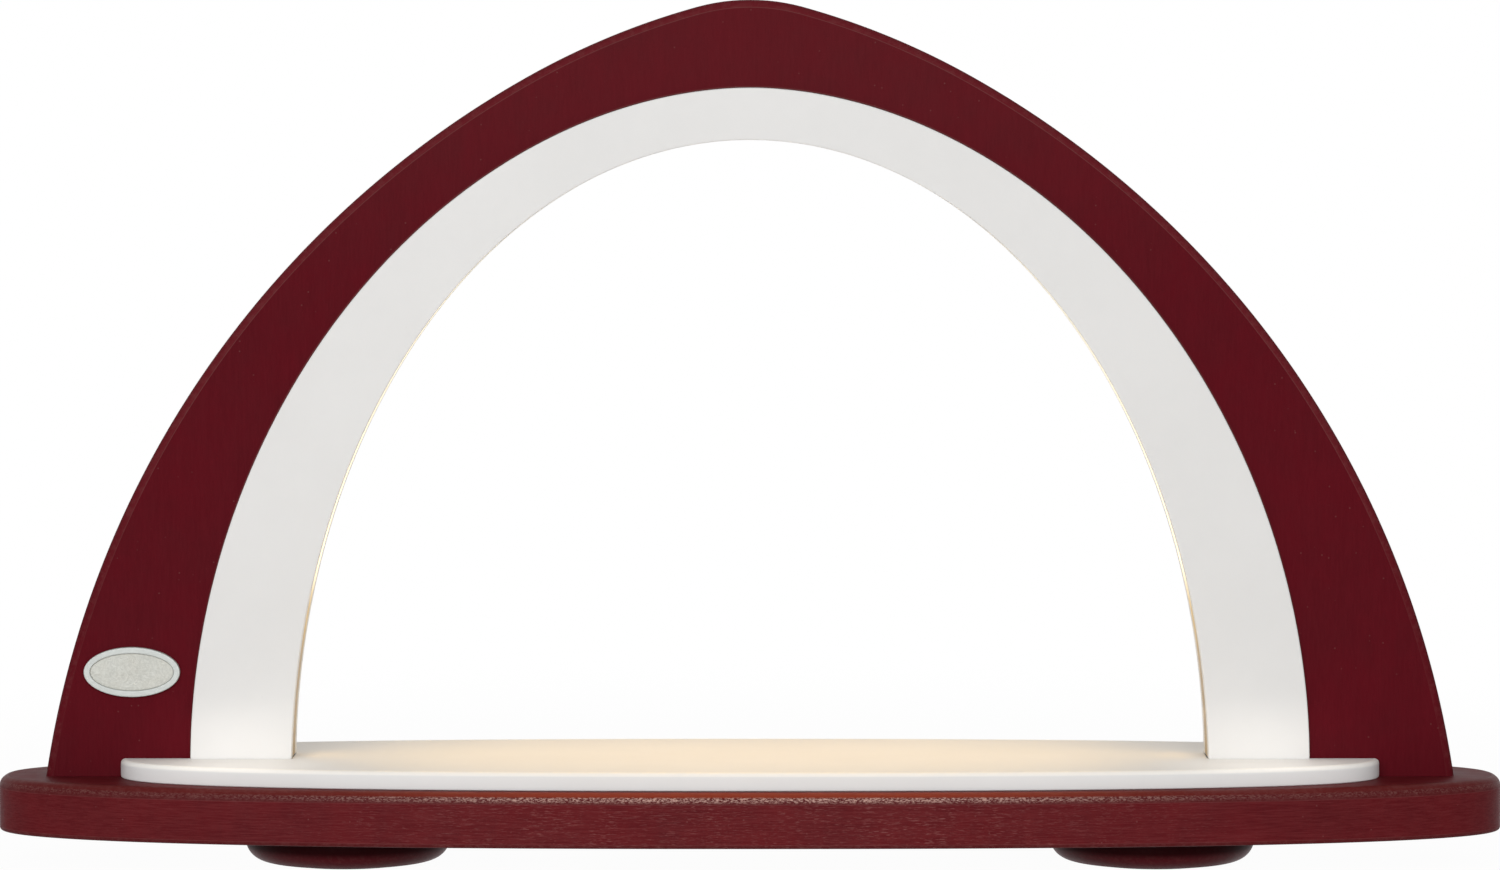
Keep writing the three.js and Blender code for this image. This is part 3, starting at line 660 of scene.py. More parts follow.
@dataclass(frozen=True)
class TurnedStain(Stain):
    """Stain on a turned foot: painted shade above, under the base board, and polished on the lower round."""

    # painted shade under the base board
    gathered: Colour = (0.01, 0.001, 0.0012)
    shaded_above: float = 7.0
    shade_run: float = 3.0
    shade_share: float = 0.85
    girth: float = 36.0
    polish: float = 0.12
    polish_roughness: float = 0.25

    def grain_place(self, brush: Brush) -> Wire:
        """Runs the fibres round the middle of the foot.

        Args:
            brush: The material's brush.

        Returns:
            Where the fibres are read.
        """
        x, y, z = brush.split(brush.position)
        across = brush.math("ABSOLUTE", x) - FOOT_REACH * MM
        angle = brush.math("ARCTAN2", y, across)
        reach = brush.math("SQRT", across ** 2.0 + y ** 2.0)
        return brush.joined(angle * (self.girth * MM), reach, z)

    def accents(self, brush: Brush, colour: Wire, roughness: Wire) -> tuple[Wire, Wire]:
        """Paints shade on the upper part, under the base board, and polishes the lower round.

        Args:
            brush: The material's brush.
            colour: The colour so far.
            roughness: The roughness so far.

        Returns:
            The colour and the roughness to use.
        """
        # painted shade where the base board overhangs the foot
        top = self.shaded_above * MM
        shade = brush.ramp(brush.level, top - self.shade_run * MM, top, 0.0, self.shade_share)
        polish = brush.ramp(brush.slope, -0.2, -0.5, 0.0, self.polish)
        polish = polish * brush.ramp(brush.slope, -0.95, -0.8)
        brush.feed(brush.shader.inputs["Coat Weight"], polish)
        brush.feed(brush.shader.inputs["Coat Roughness"], self.polish_roughness)
        return brush.layers(colour, (shade, self.gathered)), roughness


@dataclass(frozen=True)
class Lacquer(Finish):
    """Satin lacquer sprayed on a smooth board, with a painted highlight along its upper edges."""

    colour: Colour
    shade: Colour
    edge_colour: Colour
    roughness: float
    gloss: float = 0.3
    peel_depth: float = 0.25
    # how much painted highlight lies on the upper edges
    thick_edge: float = 0.0
    dust_colour: Colour = (0.45, 0.42, 0.38)
    thick_colour: Colour = (0.96, 0.935, 0.885)
    cloud_scale: float = 25.0
    peel_scale: float = 620.0
    dust_share: float = 0.12
    dust_height: float = 1.5
    unevenness: float = 0.24

    def paint(self, brush: Brush) -> None:
        """Lays the sprayed film, and a painted highlight along the upper edges.

        Args:
            brush: The material's brush.
        """
        peel = brush.cloud(self.peel_scale)
        dust = brush.specks(160.0, size=0.05, share=self.dust_share)
        # painted highlight on the rounded edges that face upwards
        lit_edge = brush.ramp(brush.edge, 0.35, 0.8) * brush.ramp(brush.slope, 0.1, 0.35, 0.0, self.thick_edge)
        colour = brush.layers(
            self.colour,
            (brush.cloud(self.cloud_scale), self.shade),
            (dust * 0.25, self.dust_colour),
            (lit_edge, self.thick_colour),
            (brush.wear(900.0, amount=0.1), self.edge_colour),
        )
        uneven = self.unevenness * self.peel_depth
        roughness = brush.ramp(peel, 0.0, 1.0, self.roughness - uneven, self.roughness + uneven)
        relief = peel + dust * self.dust_height
        brush.lay(colour, roughness, relief, self.peel_depth, 0.02, Specular_IOR_Level=self.gloss)


@dataclass(frozen=True)
class LitOpal(Finish):
    """Opal plastic lit from behind by a row of small lights, fading towards the feet."""

    body: Colour
    milk: Colour
    bright: Colour
    golden: Colour
    low: Colour
    fade: Point3
    light_count: int
    strength: float
    spot_share: float = 0.95  # of the glow, between two lights
    grain_share: float = 0.96  # of the glow, where the grain is darkest
    roughness: Point2 = (0.42, 0.56)

    def paint(self, brush: Brush) -> None:
        """Lays the plastic and its glow.

        Args:
            brush: The material's brush.
        """
        bottom, middle, top = (level * MM for level in self.fade)
        along = brush.add("ShaderNodeAttribute", give="Fac", attribute_name="along")
        wave = brush.math("SINE", along * (self.light_count * math.tau))
        spots = brush.ramp(wave, -1.0, 1.0, self.spot_share, 1.0)
        grain = brush.cloud(900.0, Low=self.grain_share)
        milk = brush.cloud(120.0)
        glow = brush.layers(
            self.low,
            (brush.ramp(brush.level, bottom, middle), self.golden),
            (brush.ramp(brush.level, middle, top), self.bright),
        )
        brush.lay(
            brush.layers(self.body, (milk, self.milk)), brush.ramp(milk, 0.0, 1.0, *self.roughness),
            grain, 0.2, 0.02, Emission_Strength=self.strength, Specular_IOR_Level=0.3,
            Emission_Color=brush.layers((0.0, 0.0, 0.0), (spots * grain, glow)),
        )


@dataclass(frozen=True)
class CastPlate(Finish):
    """Satin cast metal with a smooth rim and a finely pitted field."""

    field_colour: Colour
    rim_colour: Colour
    # colour of the pits, and of the painted shade in the groove
    groove_colour: Colour
    roughness: float
    groove_band: Band = ((0.05, 0.3), (0.4, 0.6))
    rim_run: Point2 = (0.6, 0.95)

    def paint(self, brush: Brush) -> None:
        """Lays the pitted field, the rubbed rim, and painted shade in the groove where the rim meets the
        field.

        Args:
            brush: The material's brush.
        """
        rim = brush.edge
        pits = brush.cloud(1500.0)
        marks = brush.effect(EFFECTS.scratches, Scale=1400.0)
        colour = brush.layers(
            self.field_colour,
            (pits * 0.28, self.groove_colour),
            (brush.cloud(180.0) * 0.25, self.rim_colour),
            (brush.ramp(rim, *self.rim_run), self.rim_colour),
            # painted shade in the groove between the rim and the field
            (brush.band(rim, self.groove_band) * 0.3, self.groove_colour),
        )
        roughness = pits * 0.14 + self.roughness - marks * 0.08
        relief = pits * brush.ramp(rim, 0.0, 0.5, 1.0, 0.15)
        brush.lay(colour, roughness, relief, 0.6, 0.09, Metallic=0.35, Specular_IOR_Level=0.4)


@dataclass(frozen=True)
class PlatedMetal(Finish):
    """Plated metal with the fine marks of its making."""

    colour: Colour
    dull: Colour
    roughness: float
    scratch_scale: float
    rubbed: Colour = (0.82, 0.82, 0.8)

    def paint(self, brush: Brush) -> None:
        """Lays the plating and its marks.

        Args:
            brush: The material's brush.
        """
        marks = brush.effect(EFFECTS.scratches, Scale=self.scratch_scale)
        colour = brush.layers(
            self.colour, (brush.cloud(350.0), self.dull), (brush.wear(900.0, amount=0.6), self.rubbed),
        )
        brush.lay(colour, marks * 0.16 + self.roughness, marks, 0.3, 0.015, Metallic=1.0)


@dataclass(frozen=True)
class MouldedPlastic(Finish):
    """Moulded or extruded plastic with a fine skin."""

    colour: Colour
    worn: Colour
    roughness: float
    skin_scale: float

    def paint(self, brush: Brush) -> None:
        """Lays the skin and the rubbed edges.

        Args:
            brush: The material's brush.
        """
        skin = brush.cloud(self.skin_scale)
        colour = brush.layers(
            self.colour, (skin * 0.3, self.worn), (brush.wear(700.0, amount=0.5), self.worn),
        )
        brush.lay(colour, skin * 0.12 + self.roughness, skin, 0.3, 0.02)


@dataclass(frozen=True)
class BareWood(Finish):
    """Unfinished wood or pressed fibreboard."""

    colour: Colour
    dark: Colour
    density: Point3
    roughness: float
    grain_height: float
    speck_share: float = 0.0

    def paint(self, brush: Brush) -> None:
        """Lays the bare fibres.

        Args:
            brush: The material's brush.
        """
        fine, figure = brush.fibres(self.density, waver=0.6)
        mix = fine * 0.6 + figure * 0.4
        bare = brush.specks(700.0, size=0.3, share=self.speck_share) + brush.wear(500.0, amount=0.5)
        colour = brush.layers(self.colour, (mix, self.dark), (brush.clamp(bare), self.colour))
        roughness = self.roughness - mix * 0.08
        brush.lay(colour, roughness, fine, 0.5, self.grain_height, Specular_IOR_Level=0.25)


@dataclass(frozen=True)
class PressedFelt(Finish):
    """Felt of matted fibres, which run every way."""

    colour: Colour
    fluff: Colour
    densities: tuple[Point3, Point3] = ((2600.0, 320.0, 900.0), (300.0, 2500.0, 900.0))

    def paint(self, brush: Brush) -> None:
        """Lays the matted fibres.

        Args:
            brush: The material's brush.
        """
        one, other = (brush.fibres(density, waver=1.6)[0] for density in self.densities)
        mat = brush.math("MAXIMUM", one, other)
        fluff = brush.clamp(mat * 0.6 + brush.specks(500.0, size=0.25, share=0.15))
        brush.lay(
            brush.layers(self.colour, (fluff, self.fluff)), brush.ramp(mat, 0.0, 1.0, 0.86, 0.98),
            mat, 0.9, 0.25, Sheen_Weight=0.35, Specular_IOR_Level=0.15,
        )


ARCH_STAIN = Stain(
    name="red_arch",
    deep=(0.084, 0.0019, 0.0062),
    light=(0.106, 0.0028, 0.0082),
    fibre=(0.118, 0.007, 0.0125),
    line=(0.2, 0.08, 0.075),
    # lighter rounds: painted light from above
    round_colour=(0.122, 0.0095, 0.0145),
    run=GrainRun.UP_THE_LEGS,
    fibre_share=0.22,
    speck_share=0.14,
    roughness=0.6,
    grain_height=0.03,
    gloss=0.065,
    # a painted highlight line along the rounds, and painted light that fades towards the feet
    line_share=0.36,
    low_wear=0.2,
    crown_wear=0.05,
)
BASE_STAIN = RubbedStain(
    name="red_base",
    deep=(0.083, 0.0028, 0.0058),
    light=(0.118, 0.0052, 0.0085),
    fibre=(0.165, 0.022, 0.025),
    line=(0.22, 0.09, 0.085),
    round_colour=(0.09, 0.007, 0.009),
    run=GrainRun.ALONG_THE_BOARD,
    fibre_share=0.4,
    speck_share=0.1,
    roughness=0.52,
    grain_height=0.05,
    gloss=0.1,
)
FOOT_STAIN = TurnedStain(
    name="red_foot",
    deep=(0.055, 0.0012, 0.0035),
    light=(0.085, 0.0022, 0.005),
    fibre=(0.1, 0.006, 0.009),
    line=(0.2, 0.07, 0.065),
    round_colour=(0.085, 0.0025, 0.0065),
    run=GrainRun.ROUND_THE_FOOT,
    fibre_share=0.35,
    speck_share=0.1,
    roughness=0.4,
    grain_height=0.03,
    gloss=0.035,
)
WHITE_ARCH = Lacquer("white_arch", (0.795, 0.788, 0.776), (0.775, 0.768, 0.756), (0.83, 0.81, 0.77), 0.42)
WHITE_PLATFORM = Lacquer(
    "white_platform", (0.86, 0.858, 0.85), (0.84, 0.838, 0.828), (0.88, 0.865, 0.84), 0.45,
    # a painted highlight along the platform's upper edges
    gloss=0.03, peel_depth=0.06, thick_edge=0.75,
)
OPAL = LitOpal(
    name="opal_band",
    body=(0.52, 0.41, 0.27),
    milk=(0.47, 0.37, 0.24),
    bright=(1.1, 1.02, 0.7),
    golden=(0.24, 0.15, 0.02),
    low=(0.03, 0.015, 0.0),
    fade=(68.0, 86.0, 106.0),
    light_count=36,
    strength=1.0,
)
BADGE_METAL = CastPlate(
    "badge_plate", (0.575, 0.575, 0.525), (0.545, 0.57, 0.55), (0.38, 0.38, 0.34), roughness=0.46,
)
ZINC = PlatedMetal("zinc_screw", (0.62, 0.64, 0.67), (0.47, 0.49, 0.52), 0.28, 1500.0)
NICKEL = PlatedMetal("nickel_plate", (0.7, 0.67, 0.61), (0.58, 0.55, 0.5), 0.2, 1800.0)
SOCKET_BLACK = MouldedPlastic("socket_black", (0.012, 0.012, 0.014), (0.05, 0.05, 0.055), 0.42, 1400.0)
RED_SLEEVE = MouldedPlastic("lead_red", (0.38, 0.02, 0.015), (0.5, 0.06, 0.05), 0.34, 500.0)
BLACK_SLEEVE = MouldedPlastic("lead_black", (0.014, 0.014, 0.016), (0.05, 0.05, 0.05), 0.34, 500.0)
STRIP_WHITE = MouldedPlastic("strip_white", (0.72, 0.68, 0.58), (0.5, 0.4, 0.24), 0.4, 300.0)
BEECH = BareWood(
    "dowel_beech", (0.62, 0.4, 0.22), (0.42, 0.24, 0.12), (1600.0, 1600.0, 120.0), 0.6, 0.04,
)
FIBREBOARD = BareWood(
    "cover_board", (0.2, 0.105, 0.05), (0.1, 0.05, 0.024), (500.0, 900.0, 900.0), 0.72, 0.06,
    speck_share=0.3,
)
FELT = PressedFelt("foot_felt", (0.02, 0.017, 0.015), (0.06, 0.052, 0.047))


# Mesh helpers


class ProfilePoint(NamedTuple):
    """A point of a profile, with how far it is on a rounded edge."""

    across: float
    up: float
    edge: float = 0.0


def eased(corners: Sequence[Point3], steps: int) -> list[ProfilePoint]:
    """Rounds the inner corners of an open profile.

    Args:
        corners: Across, up and radius of each corner; the ends keep no radius.
        steps: Flats in each round.

    Returns:
        The profile with its rounds, and a row beside each that keeps the flats flat.
    """
    profile = [ProfilePoint(*corners[0][:2])]
    for before, here, after in zip(corners, corners[1:], corners[2:]):
        profile.extend(_eased_corner(before, here, after, steps))
    return [*profile, ProfilePoint(*corners[-1][:2])]


def _eased_corner(before: Point3, here: Point3, after: Point3, steps: int) -> list[ProfilePoint]:
    """Rounds one corner of a profile.

    Args:
        before: The corner before it.
        here: The corner.
        after: The corner after it.
        steps: Flats in the round.

    Returns:
        The rows that stand for the corner.
    """
    corner = Vector(here[:2])
    back = Vector(before[:2]) - corner
    ahead = Vector(after[:2]) - corner
    if here[2] <= 0:
        return [ProfilePoint(*corner)]
    half = back.angle(ahead) / 2
    reach = min(here[2] / math.tan(half), ROUND_SHARE * back.length, ROUND_SHARE * ahead.length)
    roomy = [flat.length > ROOM_SHARE * reach + SUPPORT for flat in (back, ahead)]
    radius = reach * math.tan(half)
    back.normalize()
    ahead.normalize()
    centre = corner + (back + ahead).normalized() * radius / math.sin(half)
    start = (corner + back * reach - centre).normalized()
    end = (corner + ahead * reach - centre).normalized()
    rows = [ProfilePoint(*(centre + start.slerp(end, i / steps) * radius), 1.0) for i in range(steps + 1)]
    if roomy[0]:
        rows.insert(0, ProfilePoint(*(corner + back * (reach + SUPPORT))))
    if roomy[1]:
        rows.append(ProfilePoint(*(corner + ahead * (reach + SUPPORT))))
    return rows


@dataclass
class MeshSketch:
    """Points in millimetres, faces and edge values, gathered before a mesh is made."""

    points: list[Point3] = field(default_factory=list)
    edges: list[float] = field(default_factory=list)
    faces: list[tuple[int, ...]] = field(default_factory=list)

    def row(self, points: Sequence[Point3], edge: float = 0.0) -> list[int]:
        """Adds a row of points.

        Args:
            points: The row's points.
            edge: How far they are on a rounded edge.

        Returns:
            Their numbers.
        """
        first = len(self.points)
        self.points.extend(points)
        self.edges.extend([edge] * len(points))
        return list(range(first, len(self.points)))

    def bridge(self, one: Sequence[int], other: Sequence[int], closed: bool) -> None:
        """Joins two rows of the same length with faces.

        Args:
            one: The first row.
            other: The second row.
            closed: Whether the rows run back to their start.
        """
        count = len(one)
        for i in range(count if closed else count - 1):
            j = (i + 1) % count
            self.faces.append((one[i], one[j], other[j], other[i]))

    def loft(self, rows: Sequence[Sequence[int]], capped: bool) -> None:
        """Joins closed rows one after another.

        Args:
            rows: The rows, all of the same length.
            capped: Whether the first and the last row get a face each.
        """
        for one, other in zip(rows, rows[1:]):
            self.bridge(one, other, closed=True)
        if capped:
            self.faces.extend((tuple(rows[0]), tuple(rows[-1])))

    def object(self, name: str) -> bpy.types.Object:
        """Makes the object, closed, with its faces pointing outwards.

        Args:
            name: The object's name.

        Returns:
            The object.
        """
        mesh = bpy.data.meshes.new(name)
        mesh.from_pydata([Vector(point) * MM for point in self.points], [], self.faces)
        mesh.attributes.new("edge", "FLOAT", "POINT").data.foreach_set("value", self.edges)
        clean_faces(mesh, CREASE)
        return placed(name, mesh)


def placed(name: str, mesh: bpy.types.Mesh) -> bpy.types.Object:
    """Puts a mesh into the scene as an object at the origin.

    Args:
        name: The object's name.
        mesh: Its mesh.

    Returns:
        The object.
    """
    obj = bpy.data.objects.new(name, mesh)
    bpy.context.scene.collection.objects.link(obj)
    return obj


def clean_faces(mesh: bpy.types.Mesh, crease: float) -> None:
    """Merges doubles, turns faces outwards, and smooths all but the sharp edges.

    Args:
        mesh: The mesh to clean.
        crease: The angle in degrees past which an edge stays sharp.
    """
    work = bmesh.new()
    work.from_mesh(mesh)
    bmesh.ops.remove_doubles(work, verts=work.verts, dist=2e-6)
    bmesh.ops.dissolve_degenerate(work, edges=work.edges, dist=1e-7)
    bmesh.ops.recalc_face_normals(work, faces=work.faces)
    work.to_mesh(mesh)
    work.free()
    mesh.shade_smooth()
    mesh.set_sharp_from_angle(angle=math.radians(crease))
    mesh.update()


def applied(obj: bpy.types.Object) -> bpy.types.Object:
    """Turns an object's modifiers into its plain mesh.

    Args:
        obj: The object.

    Returns:
        The same object, without modifiers.
    """
    graph = bpy.context.evaluated_depsgraph_get()
    mesh = bpy.data.meshes.new_from_object(
        obj.evaluated_get(graph), preserve_all_data_layers=True, depsgraph=graph,
    )
    mesh.name = obj.name
    obj.modifiers.clear()
    obj.data = mesh
    return obj


def turned(name: str, profile: Sequence[ProfilePoint], steps: int, place: Matrix) -> bpy.types.Object:
    """Turns a profile of radius and height about the upright axis.

    Args:
        name: The body's name.
        profile: The profile, from one end of the axis to the other or closed on itself.
        steps: Flats round the axis.
        place: Where the turned body goes, in millimetres.

    Returns:
        The body.
    """
    sketch = MeshSketch()
    angles = [math.tau * i / steps for i in range(steps)]
    rows = []
    for radius, up, edge in profile:
        ring = [place @ Vector((radius * math.cos(angle), radius * math.sin(angle), up)) for angle in angles]
        rows.append(sketch.row([tuple(spot) for spot in ring], edge))
    sketch.loft(rows, capped=False)
    return sketch.object(name)


def drill(name: str, corners: Sequence[Point2], steps: int, place: Matrix) -> bpy.types.Object:
    """Turns a body to cut a round hole with, from its corners of radius and height."""
    return turned(name, [ProfilePoint(*corner) for corner in corners], steps, place)


def plate(name: str, outline: Sequence[Point2], low: float, high: float) -> bpy.types.Object:
    """Makes a flat plate between two heights from an outline, in millimetres.

    Args:
        name: The plate's name.
        outline: Its corners.
        low: Its lower face.
        high: Its upper face.

    Returns:
        The plate.
    """
    sketch = MeshSketch()
    sketch.loft([sketch.row([(x, y, z) for x, y in outline]) for z in (low, high)], capped=True)
    return sketch.object(name)


def carved(piece: bpy.types.Object, cutters: Sequence[bpy.types.Object], crease: float) -> bpy.types.Object:
    """Takes each of the cutters out of a piece and removes the cutters.

    Args:
        piece: The piece to cut.
        cutters: Closed bodies to take away.
        crease: The angle in degrees past which an edge stays sharp.

    Returns:
        The same piece with a plain mesh.
    """
    for cutter in cutters:
        modifier = piece.modifiers.new(cutter.name, "BOOLEAN")
        modifier.operation = "DIFFERENCE"
        modifier.solver = "EXACT"
        modifier.object = cutter
    applied(piece)
    for cutter in cutters:
        bpy.data.objects.remove(cutter)
    clean_faces(piece.data, crease)
    return piece


def finished(piece: bpy.types.Object, finish: Finish, slot: str, *nodes: str) -> None:
    """Gives a piece its finish and its body, and hides the nodes that it stands for.

    Args:
        piece: The finished shape.
        finish: Its surface finish.
        slot: The record's material slot; not used.
        *nodes: The CAD nodes that it replaces.
    """
    piece.data.materials.clear()
    piece.data.materials.append(finish.material())
    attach(piece, "root")
    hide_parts(*nodes)
    log.info("%s: %d faces, %s, for %s", piece.name, len(piece.data.polygons), finish.name, ", ".join(nodes))


def dressed(node: str, finish: Finish) -> None:
    """Gives a CAD node that stays its finish.

    Args:
        node: The node's name.
        finish: Its surface finish.
    """
    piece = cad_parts[node]
    if not piece.material_slots:
        piece.data.materials.append(finish.material())
    for slot in piece.material_slots:
        slot.material = finish.material()
    log.info("%s keeps its solid, %s", node, finish.name)


def grown(seed: bpy.types.Object, tree: bpy.types.NodeTree, sizes: Mapping[str, object]) -> bpy.types.Object:
    """Runs a geometry tree on a seed object and keeps the result as its plain mesh.

    Args:
        seed: The object that the tree starts from.
        tree: The geometry node tree.
        sizes: Values for the tree's inputs, by name.

    Returns:
        The seed object with the result.
    """
    modifier = seed.modifiers.new(tree.name, "NODES")
    modifier.node_group = tree
    for item in tree.interface.items_tree:
        if item.in_out == "INPUT" and item.name in sizes:
            modifier[item.identifier] = sizes[item.name]
    return applied(seed)


# Geometry trees


PLAN = {"Half Length": 0.26, "Half Depth": 0.059, "End Exponent": 2.4, "Side Exponent": 2.4}
GEOMETRY = {"Geometry": "Geometry"}


def coated(sketch: NodeSketch, geometry: Wire, finish: Wire) -> bpy.types.NodeTree:
    """Ends a geometry tree with one real mesh in its finish.

    Args:
        sketch: The tree's sketch.
        geometry: What the tree has made.
        finish: The material to give it.

    Returns:
        The tree.
    """
    real = sketch.add("GeometryNodeRealizeInstances", {"Geometry": geometry})
    done = sketch.add("GeometryNodeSetMaterial", {"Geometry": real, "Material": finish})
    sketch.node("NodeGroupOutput", {"Geometry": done})
    return sketch.tree


def marked(sketch: NodeSketch, geometry: Wire, name: str, value: Wire) -> Wire:
    """Stores a number at each point under a name."""
    feeds = {"Geometry": geometry, "Name": name, "Value": value}
    return sketch.add("GeometryNodeStoreNamedAttribute", feeds, data_type="FLOAT", domain="POINT")


class GeometryTrees:
    """The geometry node trees that make what follows a rule, a path or repeats."""

    def __init__(self) -> None:
        """Builds every tree."""
        self.plan_point = self._plan_point()
        self.rounded_board = self._rounded_board()
        self.screw_row = self._screw_row()
        self.edge_band = self._edge_band()

    @staticmethod
    def _plan_point() -> bpy.types.NodeTree:
        """A point of a superellipse plan, at a share of its round and an inset from it."""
        inputs = {"Turn": 0.0, "Inset": 0.0, **PLAN, "Height": 0.0}
        sketch, given = new_group("plan_point", "GeometryNodeTree", inputs, {"Point": "Vector"})
        angle = given["Turn"] * math.tau
        axes = []
        for trig, size, own, other_size, other in (
            ("COSINE", "Half Length", "End Exponent", "Half Depth", "Side Exponent"),
            ("SINE", "Half Depth", "Side Exponent", "Half Length", "End Exponent"),
        ):
            wave = sketch.math(trig, angle)
            share = sketch.math("ABSOLUTE", wave)
            power = 2.0 / given[own]
            reach = given[size] * share ** power
            slope = share ** (2.0 - power) * (given[other_size] / given[other])
            axes.append((sketch.math("SIGN", wave), reach, slope))
        length = sketch.math("SQRT", axes[0][2] ** 2.0 + axes[1][2] ** 2.0)
        x, y = (sign * (reach - given["Inset"] * (slope / length)) for sign, reach, slope in axes)
        sketch.node("NodeGroupOutput", {"Point": sketch.joined(x, y, given["Height"])})
        return sketch.tree

    def _on_plan(
        self, sketch: NodeSketch, given: Mapping[str, Wire], turn: Wire, inset: Wire, height: Wire,
    ) -> Wire:
        """Places a point on a board's plan.

        Args:
            sketch: The board's tree.
            given: The tree's inputs.
            turn: The share of the round.
            inset: How far in from the outline.
            height: How high.

        Returns:
            The point.
        """
        plan = {name: given[name] for name in PLAN}
        return sketch.part(self.plan_point, {"Turn": turn, "Inset": inset, "Height": height, **plan})["Point"]

    def _rounded_board(self) -> bpy.types.NodeTree:
        """A board with a superellipse plan and a round along its lower and its upper edge."""
        sketch, given = new_group("rounded_board", "GeometryNodeTree", {
            "Geometry": "Geometry", **PLAN, "Underside": 0.0, "Top": 0.0185, "Lower Round": 0.001,
            "Upper Round": 0.003, "Support": SUPPORT * MM, "Plan Steps": 320, "Round Steps": 8,
            "Finish": "Material",
        }, GEOMETRY)
        steps = given["Round Steps"]
        rows = steps * 2.0 + 6.0
        grid = sketch.add("GeometryNodeMeshGrid", {
            "Size X": 1.0, "Size Y": 1.0, "Vertices X": given["Plan Steps"] + 1.0, "Vertices Y": rows,
        })
        x, y, _ = sketch.split(sketch.add("GeometryNodeInputPosition"))
        last = rows - 1.0
        row = sketch.math("ROUND", (y + 0.5) * last)
        upper = row > last / 2.0
        step = sketch.pick(upper, row, last - row)
        radius = sketch.pick(upper, given["Lower Round"], given["Upper Round"])
        angle = sketch.clamp((step - 1.0) / steps) * (math.pi / 2)
        past = steps + 1.5
        on_flat = (step < 0.5) * given["Support"]
        on_side = (step > past) * given["Support"]
        inset = radius * (1.0 - sketch.math("SINE", angle)) + on_flat
        rise = radius * (1.0 - sketch.math("COSINE", angle)) + on_side
        height = sketch.pick(upper, given["Underside"] + rise, given["Top"] - rise)
        parts = [sketch.add("GeometryNodeSetPosition", {
            "Geometry": marked(sketch, grid, "edge", (step > 0.5) * (step < past)),
            "Position": self._on_plan(sketch, given, x + 0.5, inset, height),
        })]
        for radius_name, level in (("Lower Round", "Underside"), ("Upper Round", "Top")):
            disc = sketch.add("GeometryNodeMeshCircle", {"Vertices": given["Plan Steps"]}, fill_type="NGON")
            turn = sketch.add("GeometryNodeInputIndex") / given["Plan Steps"]
            inset = given[radius_name] + given["Support"]
            place = self._on_plan(sketch, given, turn, inset, given[level])
            parts.append(sketch.add("GeometryNodeSetPosition", {"Geometry": disc, "Position": place}))
        parts[1] = sketch.add("GeometryNodeFlipFaces", {"Mesh": parts[1]})
        join = sketch.node("GeometryNodeJoinGeometry")
        for part in parts:
            sketch.feed(join.inputs[0], part)
        whole = Wire(sketch, join.outputs[0])
        merged = sketch.add("GeometryNodeMergeByDistance", {"Geometry": whole, "Distance": 2e-6})
        return coated(sketch, merged, given["Finish"])

    @staticmethod
    def _screw_row() -> bpy.types.NodeTree:
        """Screws driven home at points, each turned its own way."""
        sketch, given = new_group("screw_row", "GeometryNodeTree", {
            "Geometry": "Geometry", "Screw": "Object", "Seed": 7, "Finish": "Material",
        }, GEOMETRY)
        screw = sketch.add(
            "GeometryNodeObjectInfo", {"Object": given["Screw"]}, "Geometry", transform_space="ORIGINAL",
        )
        feeds = {3: math.tau, "Seed": given["Seed"]}
        turn = sketch.add("FunctionNodeRandomValue", feeds, 1, data_type="FLOAT")
        driven = sketch.add("GeometryNodeInstanceOnPoints", {
            "Points": given["Geometry"], "Instance": screw, "Rotation": sketch.joined(0.0, 0.0, turn),
        })
        return coated(sketch, driven, given["Finish"])

    @staticmethod
    def _edge_band() -> bpy.types.NodeTree:
        """A flat band with eased corners that follows an upright path."""
        sketch, given = new_group("edge_band", "GeometryNodeTree", {
            "Geometry": "Geometry", "Width": 0.0114, "Thickness": 0.0025, "Corner": 0.0003,
            "Finish": "Material",
        }, GEOMETRY)
        path = sketch.add("GeometryNodeMeshToCurve", {"Mesh": given["Geometry"]})
        feeds = {"Curve": path, "Normal": (0.0, 1.0, 0.0)}
        level = sketch.add("GeometryNodeSetCurveNormal", feeds, mode="FREE")
        section = sketch.add("GeometryNodeCurvePrimitiveQuadrilateral", {
            "Width": given["Width"], "Height": given["Thickness"],
        })
        feeds = {"Curve": section, "Radius": given["Corner"], "Count": 4}
        band = sketch.add("GeometryNodeCurveToMesh", {
            "Curve": marked(sketch, level, "along", sketch.add("GeometryNodeSplineParameter")),
            "Profile Curve": sketch.add("GeometryNodeFilletCurve", feeds, mode="POLY"),
            "Fill Caps": True,
        })
        return coated(sketch, band, given["Finish"])


# Arches


class ArchLine(Protocol):
    """A line from the right foot over the top to the left foot, in front view."""

    def points(self, offset: float) -> list[Point2]:
        """Gives the line's points, moved out by an offset."""


def spaced(dense: Sequence[Point2], steps: int) -> list[Point2]:
    """Picks points at even distances along a dense line.

    Args:
        dense: The line's points.
        steps: How many equal stretches to make.

    Returns:
        The evenly spaced points, both ends among them.
    """
    runs = [0.0]
    for (x0, z0), (x1, z1) in zip(dense, dense[1:]):
        runs.append(runs[-1] + math.hypot(x1 - x0, z1 - z0))
    picked = []
    i = 0
    for step in range(steps + 1):
        goal = runs[-1] * step / steps
        while i < len(runs) - 2 and runs[i + 1] < goal:
            i += 1
        share = (goal - runs[i]) / (runs[i + 1] - runs[i])
        x0, z0 = dense[i]
        x1, z1 = dense[i + 1]
        picked.append((x0 + share * (x1 - x0), z0 + share * (z1 - z0)))
    return picked


